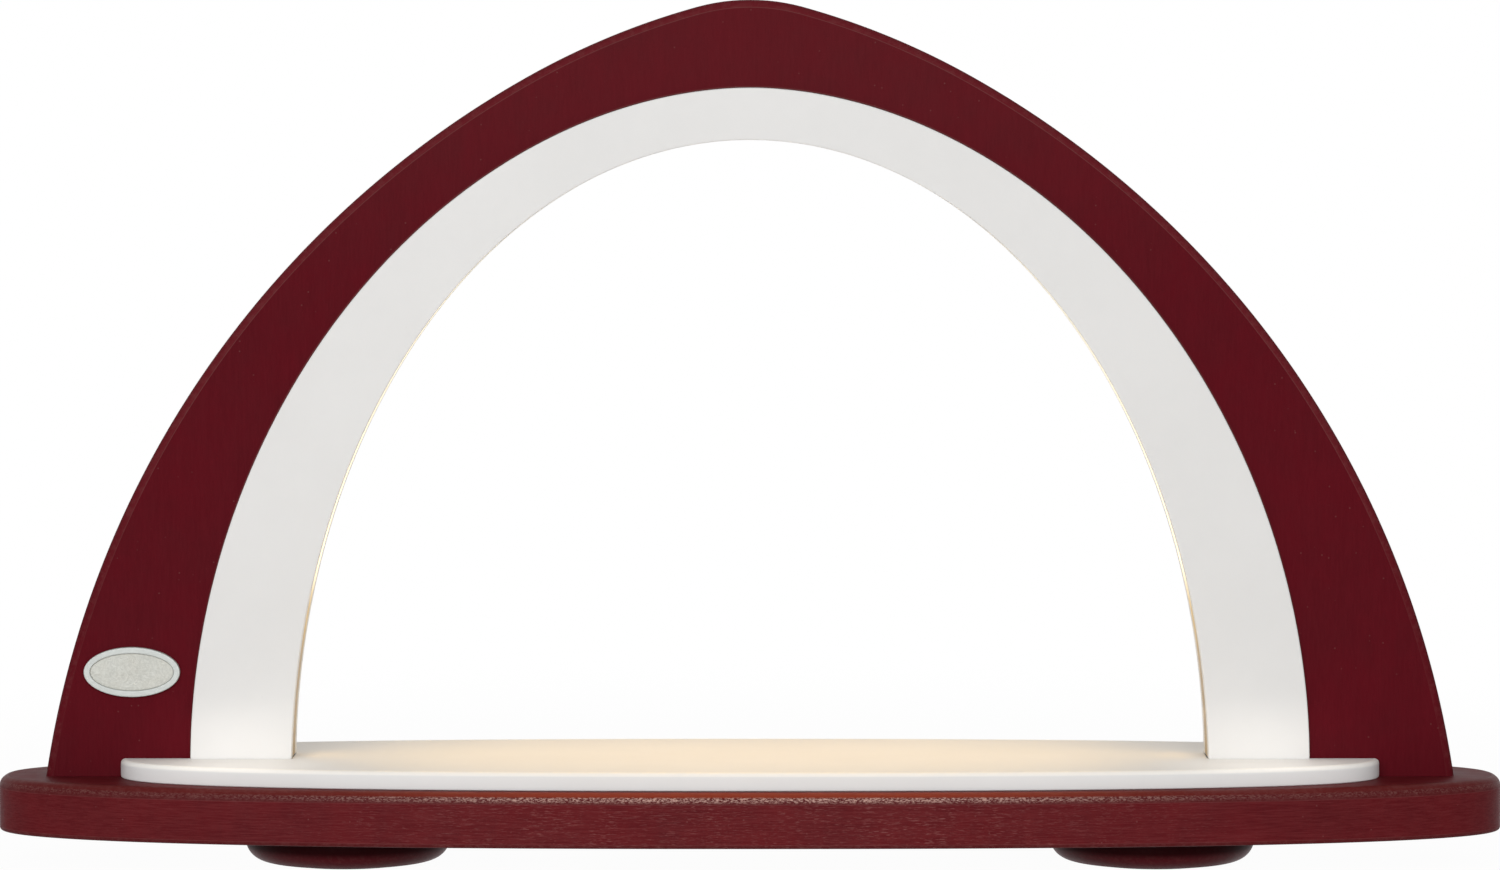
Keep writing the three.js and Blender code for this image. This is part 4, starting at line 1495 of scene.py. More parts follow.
@dataclass(frozen=True)
class NestedLine:
    """A superellipse above a short straight foot."""

    half_span: float
    rise: float
    straight: float
    exponent: float
    steps: int = 256
    finer: int = 5  # points reckoned for each one kept

    def points(self, offset: float) -> list[Point2]:
        """Gives the line's points.

        Args:
            offset: How far they are moved out along the line's normals.

        Returns:
            The points, evenly spaced.
        """
        height = self.rise - self.straight
        dense = [(self.half_span + offset, 0.0)] if self.straight > 0 else []
        count = self.finer * self.steps
        for i in range(count + 1):
            angle = math.pi * i / count
            cosine = math.cos(angle)
            across = abs(cosine) ** (2 / self.exponent)
            up = abs(math.sin(angle)) ** (2 / self.exponent)
            slant = self.exponent - 1
            normal = Vector((across ** slant / self.half_span, up ** slant / height)).normalized()
            x = self.half_span * across + offset * normal.x
            z = self.straight + height * up + offset * normal.y
            dense.append((math.copysign(x, cosine), max(z, 0.0)))
        if self.straight > 0:
            dense.append((-self.half_span - offset, 0.0))
        return spaced(dense, self.steps)


@dataclass(frozen=True)
class PointedLine:
    """Three arcs a side that run smoothly into each other: apex, shoulder and flank."""

    half_span: float
    height: float
    apex_radius: float
    apex_reach: float
    shoulder_radius: float
    shoulder_reach: float
    steps: int = 256
    finer: int = 2  # points reckoned for each millimetre of an arc
    least: int = 8  # points reckoned for the shortest arc

    def points(self, offset: float) -> list[Point2]:
        """Gives the line's points.

        Args:
            offset: How far they are moved out, which every arc's radius takes up.

        Returns:
            The points, evenly spaced.
        """
        apex_centre = Vector((0.0, self.height - self.apex_radius))
        apex_end = math.acos(self.apex_reach / self.apex_radius)
        shoulder_centre = apex_centre + _spoke(apex_end) * (self.apex_radius - self.shoulder_radius)
        shoulder_end = math.acos((self.shoulder_reach - shoulder_centre.x) / self.shoulder_radius)
        hand_over = shoulder_centre + _spoke(shoulder_end) * self.shoulder_radius
        chord = hand_over - Vector((self.half_span, 0.0))
        flank_radius = chord.length_squared / (2 * _spoke(shoulder_end).dot(chord))
        flank_centre = hand_over - _spoke(shoulder_end) * flank_radius
        foot = math.asin(-flank_centre.y / (flank_radius + offset))
        right: list[Point2] = []
        for centre, radius, start, end in (
            (flank_centre, flank_radius + offset, foot, shoulder_end),
            (shoulder_centre, self.shoulder_radius + offset, shoulder_end, apex_end),
            (apex_centre, self.apex_radius + offset, apex_end, math.pi / 2),
        ):
            count = max(self.least, int(radius * (end - start) * self.finer))
            for i in range(count):
                right.append(tuple(centre + _spoke(start + (end - start) * i / count) * radius))
        top = (0.0, self.height + offset)
        left = [(-x, z) for x, z in reversed(right)]
        return spaced([*right, top, *left], self.steps)


def _spoke(angle: float) -> Vector:
    """A unit vector at an angle from the right."""
    return Vector((math.cos(angle), math.sin(angle)))


@dataclass(frozen=True)
class SectionCorner:
    """A corner of an arch's section, with the ways that the section comes in and goes out."""

    line: ArchLine
    offset: float
    depth: float
    radius: float
    back: Point2
    ahead: Point2
    edge: float = 1.0

    def rows(self, steps: int) -> list[tuple[float, float, float]]:
        """Gives the corner's rows.

        Args:
            steps: Flats in its round.

        Returns:
            Offset, depth and edge value of each row.
        """
        if self.radius <= 0:
            return [(self.offset, self.depth, 0.0)]
        corner = Vector((self.offset, self.depth))
        back, ahead = Vector(self.back), Vector(self.ahead)
        found = [(*(corner + back * (self.radius + SUPPORT)), 0.0)]
        for step in range(steps + 1):
            angle = math.pi / 2 * step / steps
            spot = (back + ahead) - ahead * math.cos(angle) - back * math.sin(angle)
            found.append((*(corner + spot * self.radius), self.edge))
        return [*found, (*(corner + ahead * (self.radius + SUPPORT)), 0.0)]


def swept_arch(name: str, corners: Sequence[SectionCorner], steps: int) -> bpy.types.Object:
    """Sweeps a section along its arch lines, from foot to foot.

    Args:
        name: The arch's name.
        corners: The section's corners in order.
        steps: Flats in each round.

    Returns:
        The closed arch, standing on the base board.
    """
    sketch = MeshSketch()
    rows = []
    for corner in corners:
        for offset, depth, edge in corner.rows(steps):
            points = [(x, depth, z + LEVELS.base_top) for x, z in corner.line.points(offset)]
            rows.append(sketch.row(points, edge))
    for one, other in zip(rows, rows[1:] + rows[:1]):
        sketch.bridge(one, other, closed=False)
    for end in (0, -1):
        sketch.faces.append(tuple(row[end] for row in rows))
    return sketch.object(name)


@dataclass
class NestedArches:
    """The red pointed arch and the white arch that nests in it."""

    outline: PointedLine = PointedLine(244.2, 268.5, 69.0, 18.4, 262.0, 76.3)
    seam: NestedLine = NestedLine(193.8, 238.3, 5.5, 1.92)
    opening: NestedLine = NestedLine(158.8, 220.3, 0.0, 2.0)
    red_thickness: float = 18.0
    red_round: float = 2.4
    red_steps: int = 6
    seam_round: float = 0.3
    seam_edge: float = 0.5
    white_thickness: float = 22.0
    white_round: float = 0.4
    white_steps: int = 4
    glue_line: float = 0.05
    groove_half_width: float = 6.0
    groove_depth: float = 7.0
    lip_round: float = 0.25

    def build_red(self) -> bpy.types.Object:
        """Makes the red arch, rounded along its outline."""
        y = self.red_thickness / 2
        return swept_arch("red_arch", [
            SectionCorner(self.outline, 0.0, -y, self.red_round, (0, 1), (-1, 0)),
            SectionCorner(self.seam, 0.0, -y, self.seam_round, (1, 0), (0, 1), self.seam_edge),
            SectionCorner(self.seam, 0.0, y, self.seam_round, (0, -1), (1, 0), self.seam_edge),
            SectionCorner(self.outline, 0.0, y, self.red_round, (-1, 0), (0, -1)),
        ], self.red_steps)

    def build_white(self) -> bpy.types.Object:
        """Makes the white arch with the groove in its inner edge."""
        y = self.white_thickness / 2
        g = self.groove_half_width
        r = self.white_round
        return swept_arch("white_arch", [
            SectionCorner(self.seam, -self.glue_line, -y, r, (0, 1), (-1, 0)),
            SectionCorner(self.opening, 0.0, -y, r, (1, 0), (0, 1)),
            SectionCorner(self.opening, 0.0, -g, self.lip_round, (0, -1), (1, 0)),
            SectionCorner(self.opening, self.groove_depth, -g, 0.0, (-1, 0), (0, 1)),
            SectionCorner(self.opening, self.groove_depth, g, 0.0, (0, -1), (-1, 0)),
            SectionCorner(self.opening, 0.0, g, self.lip_round, (1, 0), (0, 1)),
            SectionCorner(self.opening, 0.0, y, r, (0, -1), (1, 0)),
            SectionCorner(self.seam, -self.glue_line, y, r, (-1, 0), (0, -1)),
        ], self.white_steps)

    def dress(self) -> None:
        """Builds both arches and gives them their finishes."""
        finished(self.build_red(), ARCH_STAIN, "red_stain_arch", "arch_outer")
        finished(self.build_white(), WHITE_ARCH, "white_lacquer", "arch_inner")


@dataclass
class LightBand:
    """The opal band in the groove, and the strip of lights behind it."""

    opening: NestedLine
    recess: float = 0.1
    thickness: float = 2.5
    width: float = 11.4
    corner: float = 0.2
    foot_gap: float = 0.3
    foot_step: float = 0.5  # from an end of the band to the next point, at least
    foot_lean: float = 0.3  # how far an end goes on outwards, as a share of the last stretch
    crease: float = 40.0

    def build(self, trees: GeometryTrees) -> bpy.types.Object:
        """Sweeps the band along the opening's line.

        Args:
            trees: The geometry trees.

        Returns:
            The band.
        """
        lowest = LEVELS.platform_top - LEVELS.base_top + self.foot_gap
        line = self.opening.points(self.recess + self.thickness / 2)
        middle = [(x, z) for x, z in line if z > lowest + self.foot_step]
        reach = middle[0][0] + (middle[0][0] - middle[1][0]) * self.foot_lean
        chain = [(reach, lowest), *middle, (-reach, lowest)]
        mesh = bpy.data.meshes.new("opal_path")
        points = [Vector((x, 0.0, z + LEVELS.base_top)) * MM for x, z in chain]
        mesh.from_pydata(points, [(i, i + 1) for i in range(len(points) - 1)], [])
        band = grown(placed("opal_band", mesh), trees.edge_band, {
            "Width": self.width * MM,
            "Thickness": self.thickness * MM,
            "Corner": self.corner * MM,
            "Finish": OPAL.material(),
        })
        clean_faces(band.data, self.crease)
        return band

    def dress(self, trees: GeometryTrees) -> None:
        """Builds the band and dresses the strip behind it."""
        finished(self.build(trees), OPAL, "opal_diffuser", "led_diffuser")
        dressed("led_strip", STRIP_WHITE)


# Boards and wiring


@dataclass(frozen=True)
class Countersink:
    """The hole of a countersunk screw in what shows underneath."""

    radius: float
    shank_radius: float
    depth: float
    steps: int
    rim: float = 0.3
    height: float = 6.0

    def cutter(self, name: str, x: float, y: float) -> bpy.types.Object:
        """Makes the body that cuts one hole.

        Args:
            name: The cutter's name.
            x: The hole's place along the base board.
            y: The hole's place across it.

        Returns:
            The cutter.
        """
        return drill(name, [
            (0.0, -OVERCUT),
            (self.radius, -OVERCUT),
            (self.radius, self.rim),
            (self.shank_radius, self.depth),
            (self.shank_radius, self.height),
            (0.0, self.height),
        ], self.steps, Matrix.Translation((x, y, LEVELS.base_underside)))


@dataclass
class WiringSide:
    """What shows of the wiring: the cover plate underneath and the socket in the rear edge."""

    cover_outline: tuple[Point2, ...] = (
        (-118.4, 10.0), (14.5, 10.0), (14.5, 53.0), (-14.5, 53.0), (-14.5, 30.0), (-118.4, 30.0),
    )
    cover_outward: tuple[Point2, ...] = ((-1, -1), (1, -1), (1, 1), (-1, 1), (-1, 1), (-1, 1))
    cover_thickness: float = 2.0
    cover_ease: float = 0.35
    cover_crease: float = 50.0
    cover_hole: Countersink = Countersink(2.9, 1.6, 1.5, 40)
    socket_height: float = 21.0
    socket_steps: int = 72
    thread_radius: float = 4.0
    thread_length: float = 15.0
    flange_radius: float = 5.9
    flange_thickness: float = 1.6
    bore_radius: float = 2.9
    bore_depth: float = 9.5
    pin_radius: float = 1.0
    pin_recess: float = 1.4
    pin_tail: float = 3.0
    pin_steps: int = 32
    gap: float = 0.3

    def rebate(self) -> bpy.types.Object:
        """Makes the cutter for the recess that the cover plate lies in."""
        outline = [
            (x + self.gap * out_x, y + self.gap * out_y)
            for (x, y), (out_x, out_y) in zip(self.cover_outline, self.cover_outward)
        ]
        low = LEVELS.base_underside
        return plate("cover_rebate", outline, low - OVERCUT, low + self.cover_thickness)

    def socket_seat(self) -> bpy.types.Object:
        """Makes the cutter for the socket's stepped hole in the rear edge."""
        flange = self.flange_radius + self.gap
        thread = self.thread_radius + self.gap
        shoulder = -self.flange_thickness - self.gap
        return drill("socket_seat", [
            (0.0, OVERCUT),
            (flange, OVERCUT),
            (flange, shoulder),
            (thread, shoulder),
            (thread, -self.thread_length),
            (0.0, -self.thread_length),
        ], self.socket_steps, self._backwards())

    def _backwards(self) -> Matrix:
        """Turns a body's height to point out of the rear edge at the socket's place."""
        place = Matrix.Translation((0.0, BASE_HALF[1], self.socket_height))
        return place @ Matrix.Rotation(-math.pi / 2, 4, "X")

    def build_socket(self) -> bpy.types.Object:
        """Makes the socket's body with its eased flange and its bore."""
        inner = self.pin_radius + self.gap
        return turned("socket", eased([
            (inner, -self.bore_depth, 0.0),
            (inner, -self.thread_length, 0.0),
            (self.thread_radius, -self.thread_length, 0.3),
            (self.thread_radius, -self.flange_thickness, 0.0),
            (self.flange_radius, -self.flange_thickness, 0.15),
            (self.flange_radius, 0.0, 0.4),
            (self.bore_radius, 0.0, 0.3),
            (self.bore_radius, -self.bore_depth, 0.0),
            (inner, -self.bore_depth, 0.0),
        ], 5), self.socket_steps, self._backwards())

    def build_pin(self) -> bpy.types.Object:
        """Makes the centre pin with its rounded tip."""
        foot = -self.thread_length - self.pin_tail
        return turned("socket_pin", eased([
            (0.0, foot, 0.0),
            (self.pin_radius, foot, 0.1),
            (self.pin_radius, -self.pin_recess, 0.8),
            (0.0, -self.pin_recess, 0.0),
        ], 6), self.pin_steps, self._backwards())

    def build_cover(self) -> bpy.types.Object:
        """Makes the cover plate, its edges broken and its screw holes countersunk."""
        low = LEVELS.base_underside
        cover = plate("wiring_cover", self.cover_outline, low, low + self.cover_thickness)
        bevel = cover.modifiers.new("broken_edges", "BEVEL")
        bevel.width = self.cover_ease * MM
        bevel.segments = 2
        applied(cover)
        holes = [self.cover_hole.cutter(f"cover_hole_{i}", *spot) for i, spot in enumerate(COVER_SCREWS)]
        return carved(cover, holes, self.cover_crease)

    def dress(self) -> None:
        """Builds the cover and the socket, and dresses what lies inside."""
        finished(self.build_cover(), FIBREBOARD, "fibreboard", "channel_cover")
        finished(self.build_socket(), SOCKET_BLACK, "black_plastic", "dc_socket_body")
        finished(self.build_pin(), NICKEL, "nickel", "dc_socket_pin")
        dressed("dc_socket_nut", NICKEL)
        dressed("lead_positive", RED_SLEEVE)
        dressed("lead_negative", BLACK_SLEEVE)


@dataclass(frozen=True)
class Board:
    """A board with a superellipse plan."""

    name: str
    half: Point2
    exponents: Point2
    levels: Point2
    rounds: Point2
    finish: Finish

    def build(self, trees: GeometryTrees) -> bpy.types.Object:
        """Grows the board.

        Args:
            trees: The geometry trees.

        Returns:
            The board, with nothing cut into it.
        """
        seed = placed(self.name, bpy.data.meshes.new(f"{self.name}_seed"))
        return grown(seed, trees.rounded_board, {
            "Half Length": self.half[0] * MM,
            "Half Depth": self.half[1] * MM,
            "End Exponent": self.exponents[0],
            "Side Exponent": self.exponents[1],
            "Underside": self.levels[0] * MM,
            "Top": self.levels[1] * MM,
            "Lower Round": self.rounds[0] * MM,
            "Upper Round": self.rounds[1] * MM,
            "Finish": self.finish.material(),
        })


@dataclass
class Boards:
    """The base board and the slotted platform."""

    wiring: WiringSide
    base: Board = Board(
        "base", BASE_HALF, (2.4, 2.4), (LEVELS.base_underside, LEVELS.base_top), (1.2, 3.7), BASE_STAIN,
    )
    platform: Board = Board(
        "platform", (218.3, 53.0), (2.3, 3.3), (LEVELS.base_top, LEVELS.platform_top), (0.5, 1.7),
        WHITE_PLATFORM,
    )
    leg_hole: Countersink = Countersink(4.5, 2.5, 2.6, 48)
    slot_start: float = 158.5
    slot_step: float = 193.8
    slot_half_widths: Point2 = (11.3, 9.3)

    def build_base(self, trees: GeometryTrees) -> bpy.types.Object:
        """Makes the base board with the recesses that show from below and behind.

        Args:
            trees: The geometry trees.

        Returns:
            The base board.
        """
        places = [side.value * reach for side in Side for reach in LEG_SCREWS.values()]
        cutters = [self.leg_hole.cutter(f"countersink_{x:.0f}", x, 0.0) for x in places]
        board = self.base.build(trees)
        return carved(board, [*cutters, self.wiring.rebate(), self.wiring.socket_seat()], CREASE)

    def build_platform(self, trees: GeometryTrees) -> bpy.types.Object:
        """Makes the platform with its open slots.

        Args:
            trees: The geometry trees.

        Returns:
            The platform.
        """
        wide, narrow = self.slot_half_widths
        low, high = self.platform.levels
        cutters = []
        for side in Side:
            for near, far, half in (
                (self.slot_start, self.slot_step, wide),
                (self.slot_step - OVERCUT, self.platform.half[0] + OVERCUT, narrow),
            ):
                left, right = sorted((side.value * near, side.value * far))
                outline = [(left, -half), (right, -half), (right, half), (left, half)]
                cutters.append(plate(f"slot_{side.end}_{half}", outline, low - OVERCUT, high + OVERCUT))
        return carved(self.platform.build(trees), cutters, CREASE)

    def dress(self, trees: GeometryTrees) -> None:
        """Builds both boards and dresses the dowels between them.

        Args:
            trees: The geometry trees.
        """
        finished(self.build_base(trees), BASE_STAIN, "red_stain_base", "base_board")
        finished(self.build_platform(trees), WHITE_PLATFORM, "white_lacquer", "platform_board")
        for side in Side:
            dressed(f"platform_dowel_{side.end}", BEECH)


# Feet


@dataclass
class TurnedFeet:
    """The two turned feet, each with a felt disc let into its lower face."""

    radius: float = 35.6
    height: float = 10.7
    lower_round: float = 7.5
    top_round: float = 1.0
    lip_round: float = 0.25
    round_steps: int = 14
    pad_radius: float = 24.0
    pad_thickness: float = 2.0
    pad_rounds: Point2 = (0.5, 0.3)
    pad_round_steps: int = 5
    pad_gap: float = 0.3
    recess: float = 1.2
    steps: int = 144

    def build_foot(self, side: Side) -> bpy.types.Object:
        """Turns one foot.

        Args:
            side: The foot's side.

        Returns:
            The foot.
        """
        opening = self.pad_radius + self.pad_gap
        profile = eased([
            (0.0, self.recess, 0.0),
            (opening, self.recess, 0.0),
            (opening, 0.0, self.lip_round),
            (self.radius, 0.0, self.lower_round),
            (self.radius, self.height, self.top_round),
            (0.0, self.height, 0.0),
        ], self.round_steps)
        place = Matrix.Translation((side.value * FOOT_REACH, 0.0, LEVELS.foot_bottom))
        return turned(f"turned_foot_{side.end}", profile, self.steps, place)

    def build_pad(self, side: Side) -> bpy.types.Object:
        """Makes one felt disc, soft at its edges.

        Args:
            side: The disc's side.

        Returns:
            The disc.
        """
        profile = eased([
            (0.0, 0.0, 0.0),
            (self.pad_radius, 0.0, self.pad_rounds[0]),
            (self.pad_radius, self.pad_thickness, self.pad_rounds[1]),
            (0.0, self.pad_thickness, 0.0),
        ], self.pad_round_steps)
        place = Matrix.Translation((side.value * FOOT_REACH, 0.0, 0.0))
        return turned(f"felt_disc_{side.end}", profile, self.steps, place)

    def dress(self) -> None:
        """Builds the feet and their pads."""
        for side in Side:
            finished(self.build_foot(side), FOOT_STAIN, "red_stain_foot", f"foot_{side.end}")
            finished(self.build_pad(side), FELT, "felt", f"foot_pad_{side.end}")


# Badge


@dataclass
class OvalBadge:
    """The oval plate on the left red leg: a raised rim round a bare field."""

    centre: Point3 = (-213.9, -9.0, 66.9)
    half: Point2 = (16.65, 8.65)
    thickness: float = 2.0
    outer_round: float = 0.3
    rim_width: float = 2.2
    rim_slant: Point2 = (0.1, 0.12)
    rim_rounds: Point2 = (0.28, 0.12)
    rim_rise: float = 0.2
    field_depth: float = 0.7
    field_margin: float = 2.0
    line_reach: float = 0.6
    line_edge: float = 0.45
    round_steps: int = 6
    steps: int = 128

    def build(self) -> bpy.types.Object:
        """Makes the plate from ovals set in from its outline."""
        face = self.thickness
        floor = face - self.field_depth
        profile = eased([
            (0.0, 0.0, 0.0),
            (0.0, face, self.outer_round),
            (self.rim_width - self.rim_slant[0], face, self.rim_rounds[0]),
            (self.rim_width + self.rim_slant[1], floor, self.rim_rounds[1]),
            (self.rim_width + self.field_margin, floor, 0.0),
        ], self.round_steps)
        sketch = MeshSketch()
        sketch.loft([sketch.row(self._oval(point), self._edge(point)) for point in profile], capped=True)
        return sketch.object("oval_badge")

    def _edge(self, point: ProfilePoint) -> float:
        """Says what part of the plate a point is on.

        Args:
            point: The profile's point.

        Returns:
            1 on the smooth rim, less in the line where it meets the field, and 0 on the field.
        """
        floor = self.thickness - self.field_depth
        if point.across < self.rim_width and point.up > floor + self.rim_rise:
            return 1.0
        near = point.across <= self.rim_width + self.line_reach
        return self.line_edge if near and point.edge > 0 else 0.0

    def _oval(self, point: ProfilePoint) -> list[Point3]:
        """Draws the oval of one row.

        Args:
            point: The profile's point: how far in from the outline, and how far out from the leg.

        Returns:
            The oval's points.
        """
        x, y, z = self.centre
        angles = [math.tau * i / self.steps for i in range(self.steps)]
        wide, high = (half - point.across for half in self.half)
        return [(x + wide * math.cos(angle), y - point.up, z + high * math.sin(angle)) for angle in angles]

    def dress(self) -> None:
        """Builds the badge and gives it its finish."""
        finished(self.build(), BADGE_METAL, "badge_metal", "badge")


# Screws


@dataclass(frozen=True)
class Screw:
    """A countersunk screw with a cross recess."""

    name: str
    head_radius: float
    head_height: float
    radius: float
    length: float
    recess_reach: float
    recess_width: float
    recess_depth: float
    head_rim: float = 0.3
    floor_reach: float = 0.45  # of the recess's reach, at its floor
    floor_width: float = 0.32  # of the recess's width, to each side of its floor's middle
    round_steps: int = 3
    steps: int = 40
    crease: float = 28.0

    def build(self) -> bpy.types.Object:
        """Makes the screw, its head's face at height 0 and its point upwards."""
        body = turned(self.name, eased([
            (0.0, 0.0, 0.0),
            (self.head_radius, 0.0, 0.15),
            (self.head_radius, self.head_rim, 0.08),
            (self.radius, self.head_height, 0.3),
            (self.radius, self.length - 2 * self.radius, 0.2),
            (0.0, self.length, 0.0),
        ], self.round_steps), self.steps, Matrix.Identity(4))
        return carved(body, [self._blade(0.0), self._blade(math.pi / 2)], self.crease)

    def _blade(self, angle: float) -> bpy.types.Object:
        """Makes the cutter for one arm of the cross, narrower at its floor.

        Args:
            angle: How far the arm is turned.

        Returns:
            The cutter.
        """
        sketch = MeshSketch()
        turn = Matrix.Rotation(angle, 3, "Z")
        wide = (self.recess_reach, self.recess_width / 2)
        narrow = (self.recess_reach * self.floor_reach, self.recess_width * self.floor_width)
        rows = []
        for z, (reach, half) in ((-1.0, wide), (0.0, wide), (self.recess_depth, narrow)):
            corners = [(-reach, -half), (reach, -half), (reach, half), (-reach, half)]
            rows.append(sketch.row([tuple(turn @ Vector((x, y, z))) for x, y in corners]))
        sketch.loft(rows, capped=True)
        return sketch.object(f"{self.name}_blade")


@dataclass
class Fastenings:
    """Every screw that holds the arch together, driven in from below."""

    arch_screw: Screw = Screw("arch_screw", 4.2, 2.6, 2.2, 42.0, 2.5, 1.2, 1.3)
    foot_screw: Screw = Screw("foot_screw", 3.8, 2.4, 2.0, 20.0, 2.3, 1.1, 1.2)
    cover_screw: Screw = Screw("cover_screw", 2.6, 1.5, 1.3, 9.0, 1.6, 0.8, 0.8)
    seeds: tuple[int, int, int] = (11, 23, 37)

    def dress(self, trees: GeometryTrees) -> None:
        """Drives each kind of screw home.

        Args:
            trees: The geometry trees.
        """
        under = LEVELS.base_underside
        legs = {
            f"arch_{arch}_screw_{side.end}": (side.value * LEG_SCREWS[arch], 0.0, under)
            for arch in ("outer", "inner")
            for side in Side
        }
        feet = {
            f"foot_screw_{side.end}": (side.value * FOOT_REACH, 0.0, LEVELS.screw_face_in_foot)
            for side in Side
        }
        cover = {f"channel_cover_screw_{i}": (*spot, under) for i, spot in enumerate(COVER_SCREWS, 1)}
        kinds = (
            ("leg_screws", self.arch_screw, legs),
            ("foot_screws", self.foot_screw, feet),
            ("cover_screws", self.cover_screw, cover),
        )
        for (name, screw, places), seed in zip(kinds, self.seeds):
            mesh = bpy.data.meshes.new(f"{name}_places")
            mesh.from_pydata([Vector(place) * MM for place in places.values()], [], [])
            template = screw.build()
            piece = grown(placed(name, mesh), trees.screw_row, {
                "Screw": template, "Seed": seed, "Finish": ZINC.material(),
            })
            bpy.data.objects.remove(template)
            finished(piece, ZINC, "screw_steel", *places)


# Studio


@dataclass(frozen=True)
class Lamp:
    """An area lamp that the camera doesn't see, in metres, watts and degrees."""

    size: Point2
    power: float
    colour: Colour = (1.0, 1.0, 1.0)
    spread: float = 180.0
    mirrored: bool = True

    def hang(self, name: str, place: Point3, goal: Point3) -> None:
        """Hangs the lamp.

        Args:
            name: The lamp's name.
            place: Where it hangs.
            goal: What it points at.
        """
        data = bpy.data.lights.new(name, "AREA")
        data.spread = math.radians(self.spread)
        data.shape = "RECTANGLE"
        data.size, data.size_y = self.size
        data.energy = self.power
        data.color = self.colour
        lamp = bpy.data.objects.new(name, data)
        lamp.location = place
        back = (Vector(place) - Vector(goal)).normalized()
        across = Vector((0.0, 1.0, 0.0)).cross(back).normalized()
        lamp.rotation_euler = Matrix((across, back.cross(across), back)).transposed().to_euler()
        lamp.visible_camera = False
        lamp.visible_glossy = self.mirrored
        bpy.context.scene.collection.objects.link(lamp)


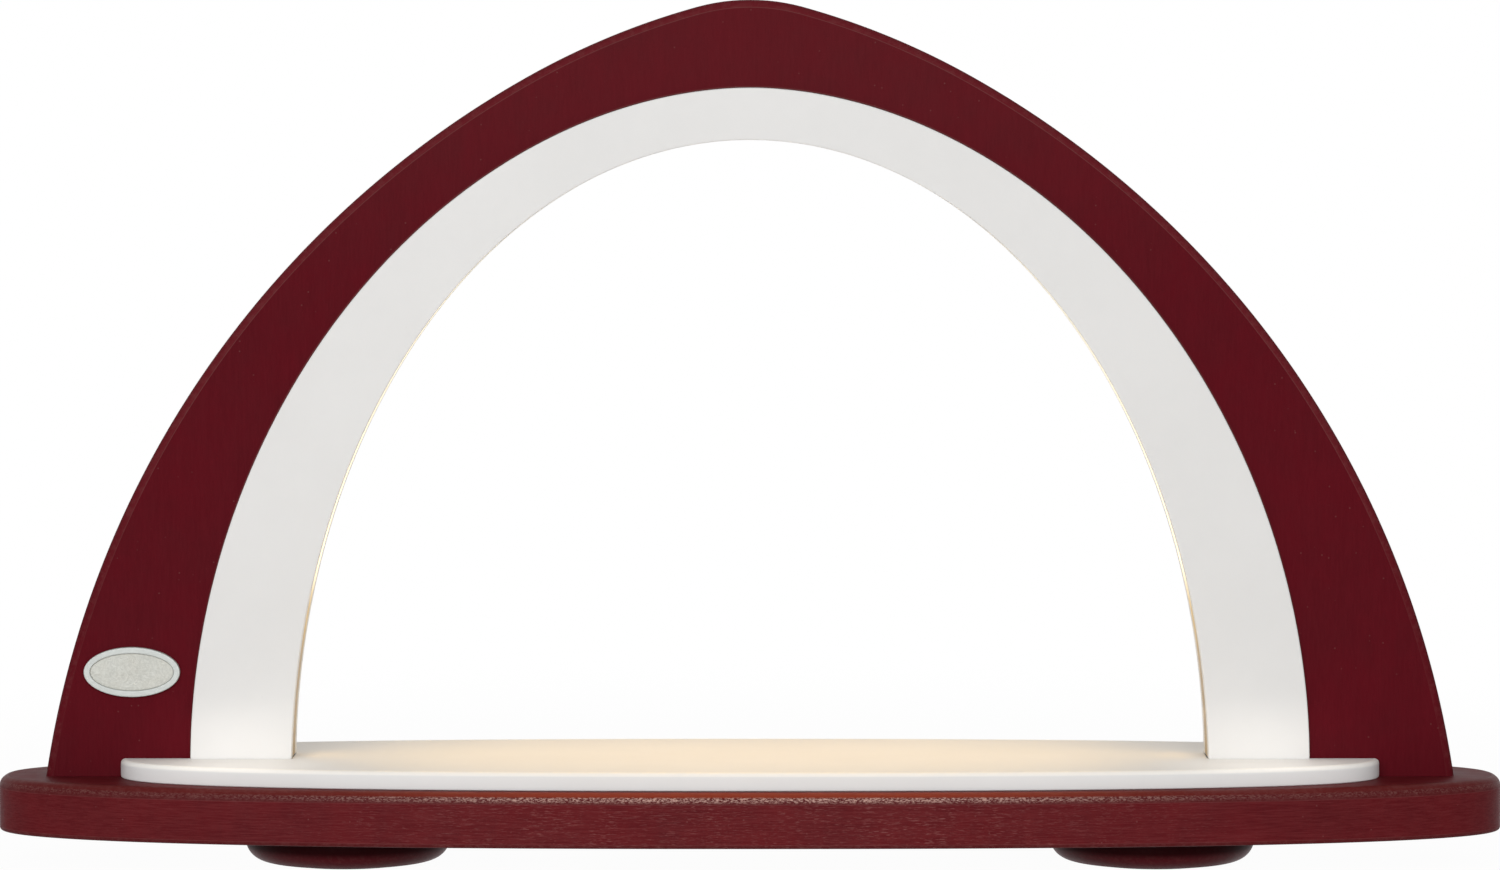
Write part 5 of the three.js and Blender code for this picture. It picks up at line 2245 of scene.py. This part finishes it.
@dataclass
class Studio:
    """The camera, the floor, the lamps and the world."""

    eye: Point3 = (0.0, -2.0, 0.266)
    tilt: float = 86.637
    lens: float = 138.58
    sensor: float = 36.0
    sight: Point2 = (0.05, 50.0)
    floor_near: float = -1.2
    floor_far: float = 2.6
    floor_half: float = 2.2
    floor_colours: tuple[Colour, Colour] = ((0.8, 0.8, 0.8), (0.82, 0.82, 0.82))
    floor_cloud: float = 3.0
    floor_own_light: float = 0.97
    floor_light_run: Point2 = (0.3, 0.75)
    mirrored_back: float = 1.0
    mirrored_front: float = 0.15
    mirrored_run: Point2 = (-0.4, 0.7)
    ambient: float = 0.355
    lamp_goal: Point3 = (0.0, 0.0, 0.12)
    front_lamp: Lamp = Lamp((2.6, 1.5), 46.8)
    front_place: Point3 = (-0.3, -2.6, 0.78)
    rear_lamp: Lamp = Lamp((2.4, 0.8), 11.5, mirrored=False)
    rear_place: Point3 = (0.5, 2.8, 0.6)
    corner_lamp: Lamp = Lamp((0.045, 0.016), 0.0023, (1.0, 0.93, 0.84), 120.0)
    corner_reach: float = 0.178
    corner_place: Point2 = (-0.038, 0.064)
    corner_goal: Point2 = (-0.03, 0.036)
    low_lamp: Lamp = Lamp((0.012, 0.016), 0.0011, (1.0, 0.65, 0.25), 130.0)
    low_rise: float = 0.013
    low_goal_drop: float = 0.04
    band_lamp: Lamp = Lamp((0.05, 0.008), 0.0178, (1.0, 0.65, 0.25), 130.0)
    band_count: int = 12
    band_inset: float = 1.5
    band_lowest: float = 70.0
    band_goal_share: float = 0.28

    def set_camera(self) -> None:
        """Puts the camera where the view was taken from."""
        data = bpy.data.cameras.new("view")
        data.lens = self.lens
        data.sensor_width = self.sensor
        data.clip_start, data.clip_end = self.sight
        camera = bpy.data.objects.new("view", data)
        camera.location = self.eye
        camera.rotation_euler = (math.radians(self.tilt), 0.0, 0.0)
        bpy.context.scene.collection.objects.link(camera)
        bpy.context.scene.camera = camera
        log.info("camera at %s, tilted %s degrees", self.eye, self.tilt)

    def lay_floor(self) -> None:
        """Lays the plain pale floor, which keeps the shadow."""
        sketch = MeshSketch()
        x, near, far = (length / MM for length in (self.floor_half, self.floor_near, self.floor_far))
        corners = sketch.row([(-x, near, 0.0), (x, near, 0.0), (x, far, 0.0), (-x, far, 0.0)])
        sketch.faces.append(tuple(corners))
        floor = sketch.object("floor")
        floor.data.materials.append(self._floor_material())

    def _floor_material(self) -> bpy.types.Material:
        """A pale matt floor that the camera and the mirrors see as near white."""
        material = bpy.data.materials.new("floor_pale")
        sketch = NodeSketch(cleared(material))
        position = sketch.outs("ShaderNodeTexCoord")["Object"]
        cloud = sketch.part(EFFECTS.mottle, {"Position": position, "Scale": self.floor_cloud})["Value"]
        matt = sketch.add("ShaderNodeBsdfPrincipled", {
            "Base Color": sketch.layers(self.floor_colours[0], (cloud, self.floor_colours[1])),
            "Roughness": 0.9,
            "Specular IOR Level": 0.1,
        })
        white = sketch.add("ShaderNodeEmission", {"Color": (1.0, 1.0, 1.0, 1.0), "Strength": 1.0})
        path = sketch.outs("ShaderNodeLightPath")
        seen = sketch.math("MAXIMUM", path["Is Transmission Ray"], path["Is Glossy Ray"])
        seen = sketch.math("MAXIMUM", path["Is Camera Ray"], seen)
        away = sketch.add("ShaderNodeVectorMath", {0: position}, "Value", operation="LENGTH")
        own_light = sketch.ramp(away, *self.floor_light_run, self.floor_own_light, 1.0)
        mix = sketch.add("ShaderNodeMixShader", {0: seen * own_light, 1: matt, 2: white})
        sketch.node("ShaderNodeOutputMaterial", {"Surface": mix})
        return material

    def hang_lamps(self, opening: NestedLine) -> None:
        """Hangs a broad lamp in front, a dimmer one behind and the band's small warm lamps.

        Args:
            opening: The line that the warm lamps follow.
        """
        self.front_lamp.hang("front_lamp", self.front_place, self.lamp_goal)
        self.rear_lamp.hang("rear_lamp", self.rear_place, self.lamp_goal)
        for side in Side:
            x = side.value * self.corner_reach
            self.corner_lamp.hang(f"corner_lamp_{side.end}", (x, *self.corner_place), (x, *self.corner_goal))
            x = side.value * (opening.half_span - self.band_inset) * MM
            z = LEVELS.platform_top * MM + self.low_rise
            self.low_lamp.hang(f"low_band_lamp_{side.end}", (x, 0.0, z), (0.0, 0.0, z - self.low_goal_drop))
        line = opening.points(-self.band_inset)
        for i in range(self.band_count):
            x, z = line[int((i + 0.5) / self.band_count * (len(line) - 1))]
            if z >= self.band_lowest:
                spot = Vector((x, 0.0, z + LEVELS.base_top)) * MM
                goal = Vector((0.0, 0.0, LEVELS.base_top + self.band_goal_share * z)) * MM
                self.band_lamp.hang(f"band_lamp_{i}", tuple(spot), tuple(goal))

    def set_world(self) -> None:
        """Makes the world white to the camera, plain to the surfaces and dim behind the camera."""
        world = bpy.data.worlds.new("studio_world")
        bpy.context.scene.world = world
        sketch = NodeSketch(cleared(world))
        path = sketch.outs("ShaderNodeLightPath")
        forward = sketch.split(sketch.outs("ShaderNodeTexCoord")["Generated"])[1]
        mirrored = sketch.ramp(forward, *self.mirrored_run, self.mirrored_front, self.mirrored_back)
        strength = sketch.pick(path["Is Glossy Ray"], self.ambient, mirrored)
        seen = sketch.math("MAXIMUM", path["Is Camera Ray"], path["Is Transmission Ray"])
        strength = sketch.pick(seen, strength, 1.0)
        ground = sketch.add("ShaderNodeBackground", {"Color": (1.0, 1.0, 1.0, 1.0), "Strength": strength})
        sketch.node("ShaderNodeOutputWorld", {"Surface": ground})
        bpy.context.scene.view_settings.view_transform = "Standard"


def main() -> None:
    """Builds and dresses the whole arch in its studio."""
    logging.basicConfig(level=logging.INFO, format="%(name)s: %(message)s")
    studio = Studio()
    studio.set_camera()
    trees = GeometryTrees()
    arches = NestedArches()
    wiring = WiringSide()
    arches.dress()
    LightBand(arches.opening).dress(trees)
    Boards(wiring).dress(trees)
    TurnedFeet().dress()
    OvalBadge().dress()
    Fastenings().dress(trees)
    wiring.dress()
    studio.lay_floor()
    studio.hang_lamps(arches.opening)
    studio.set_world()


if __name__ == "__main__":
    main()
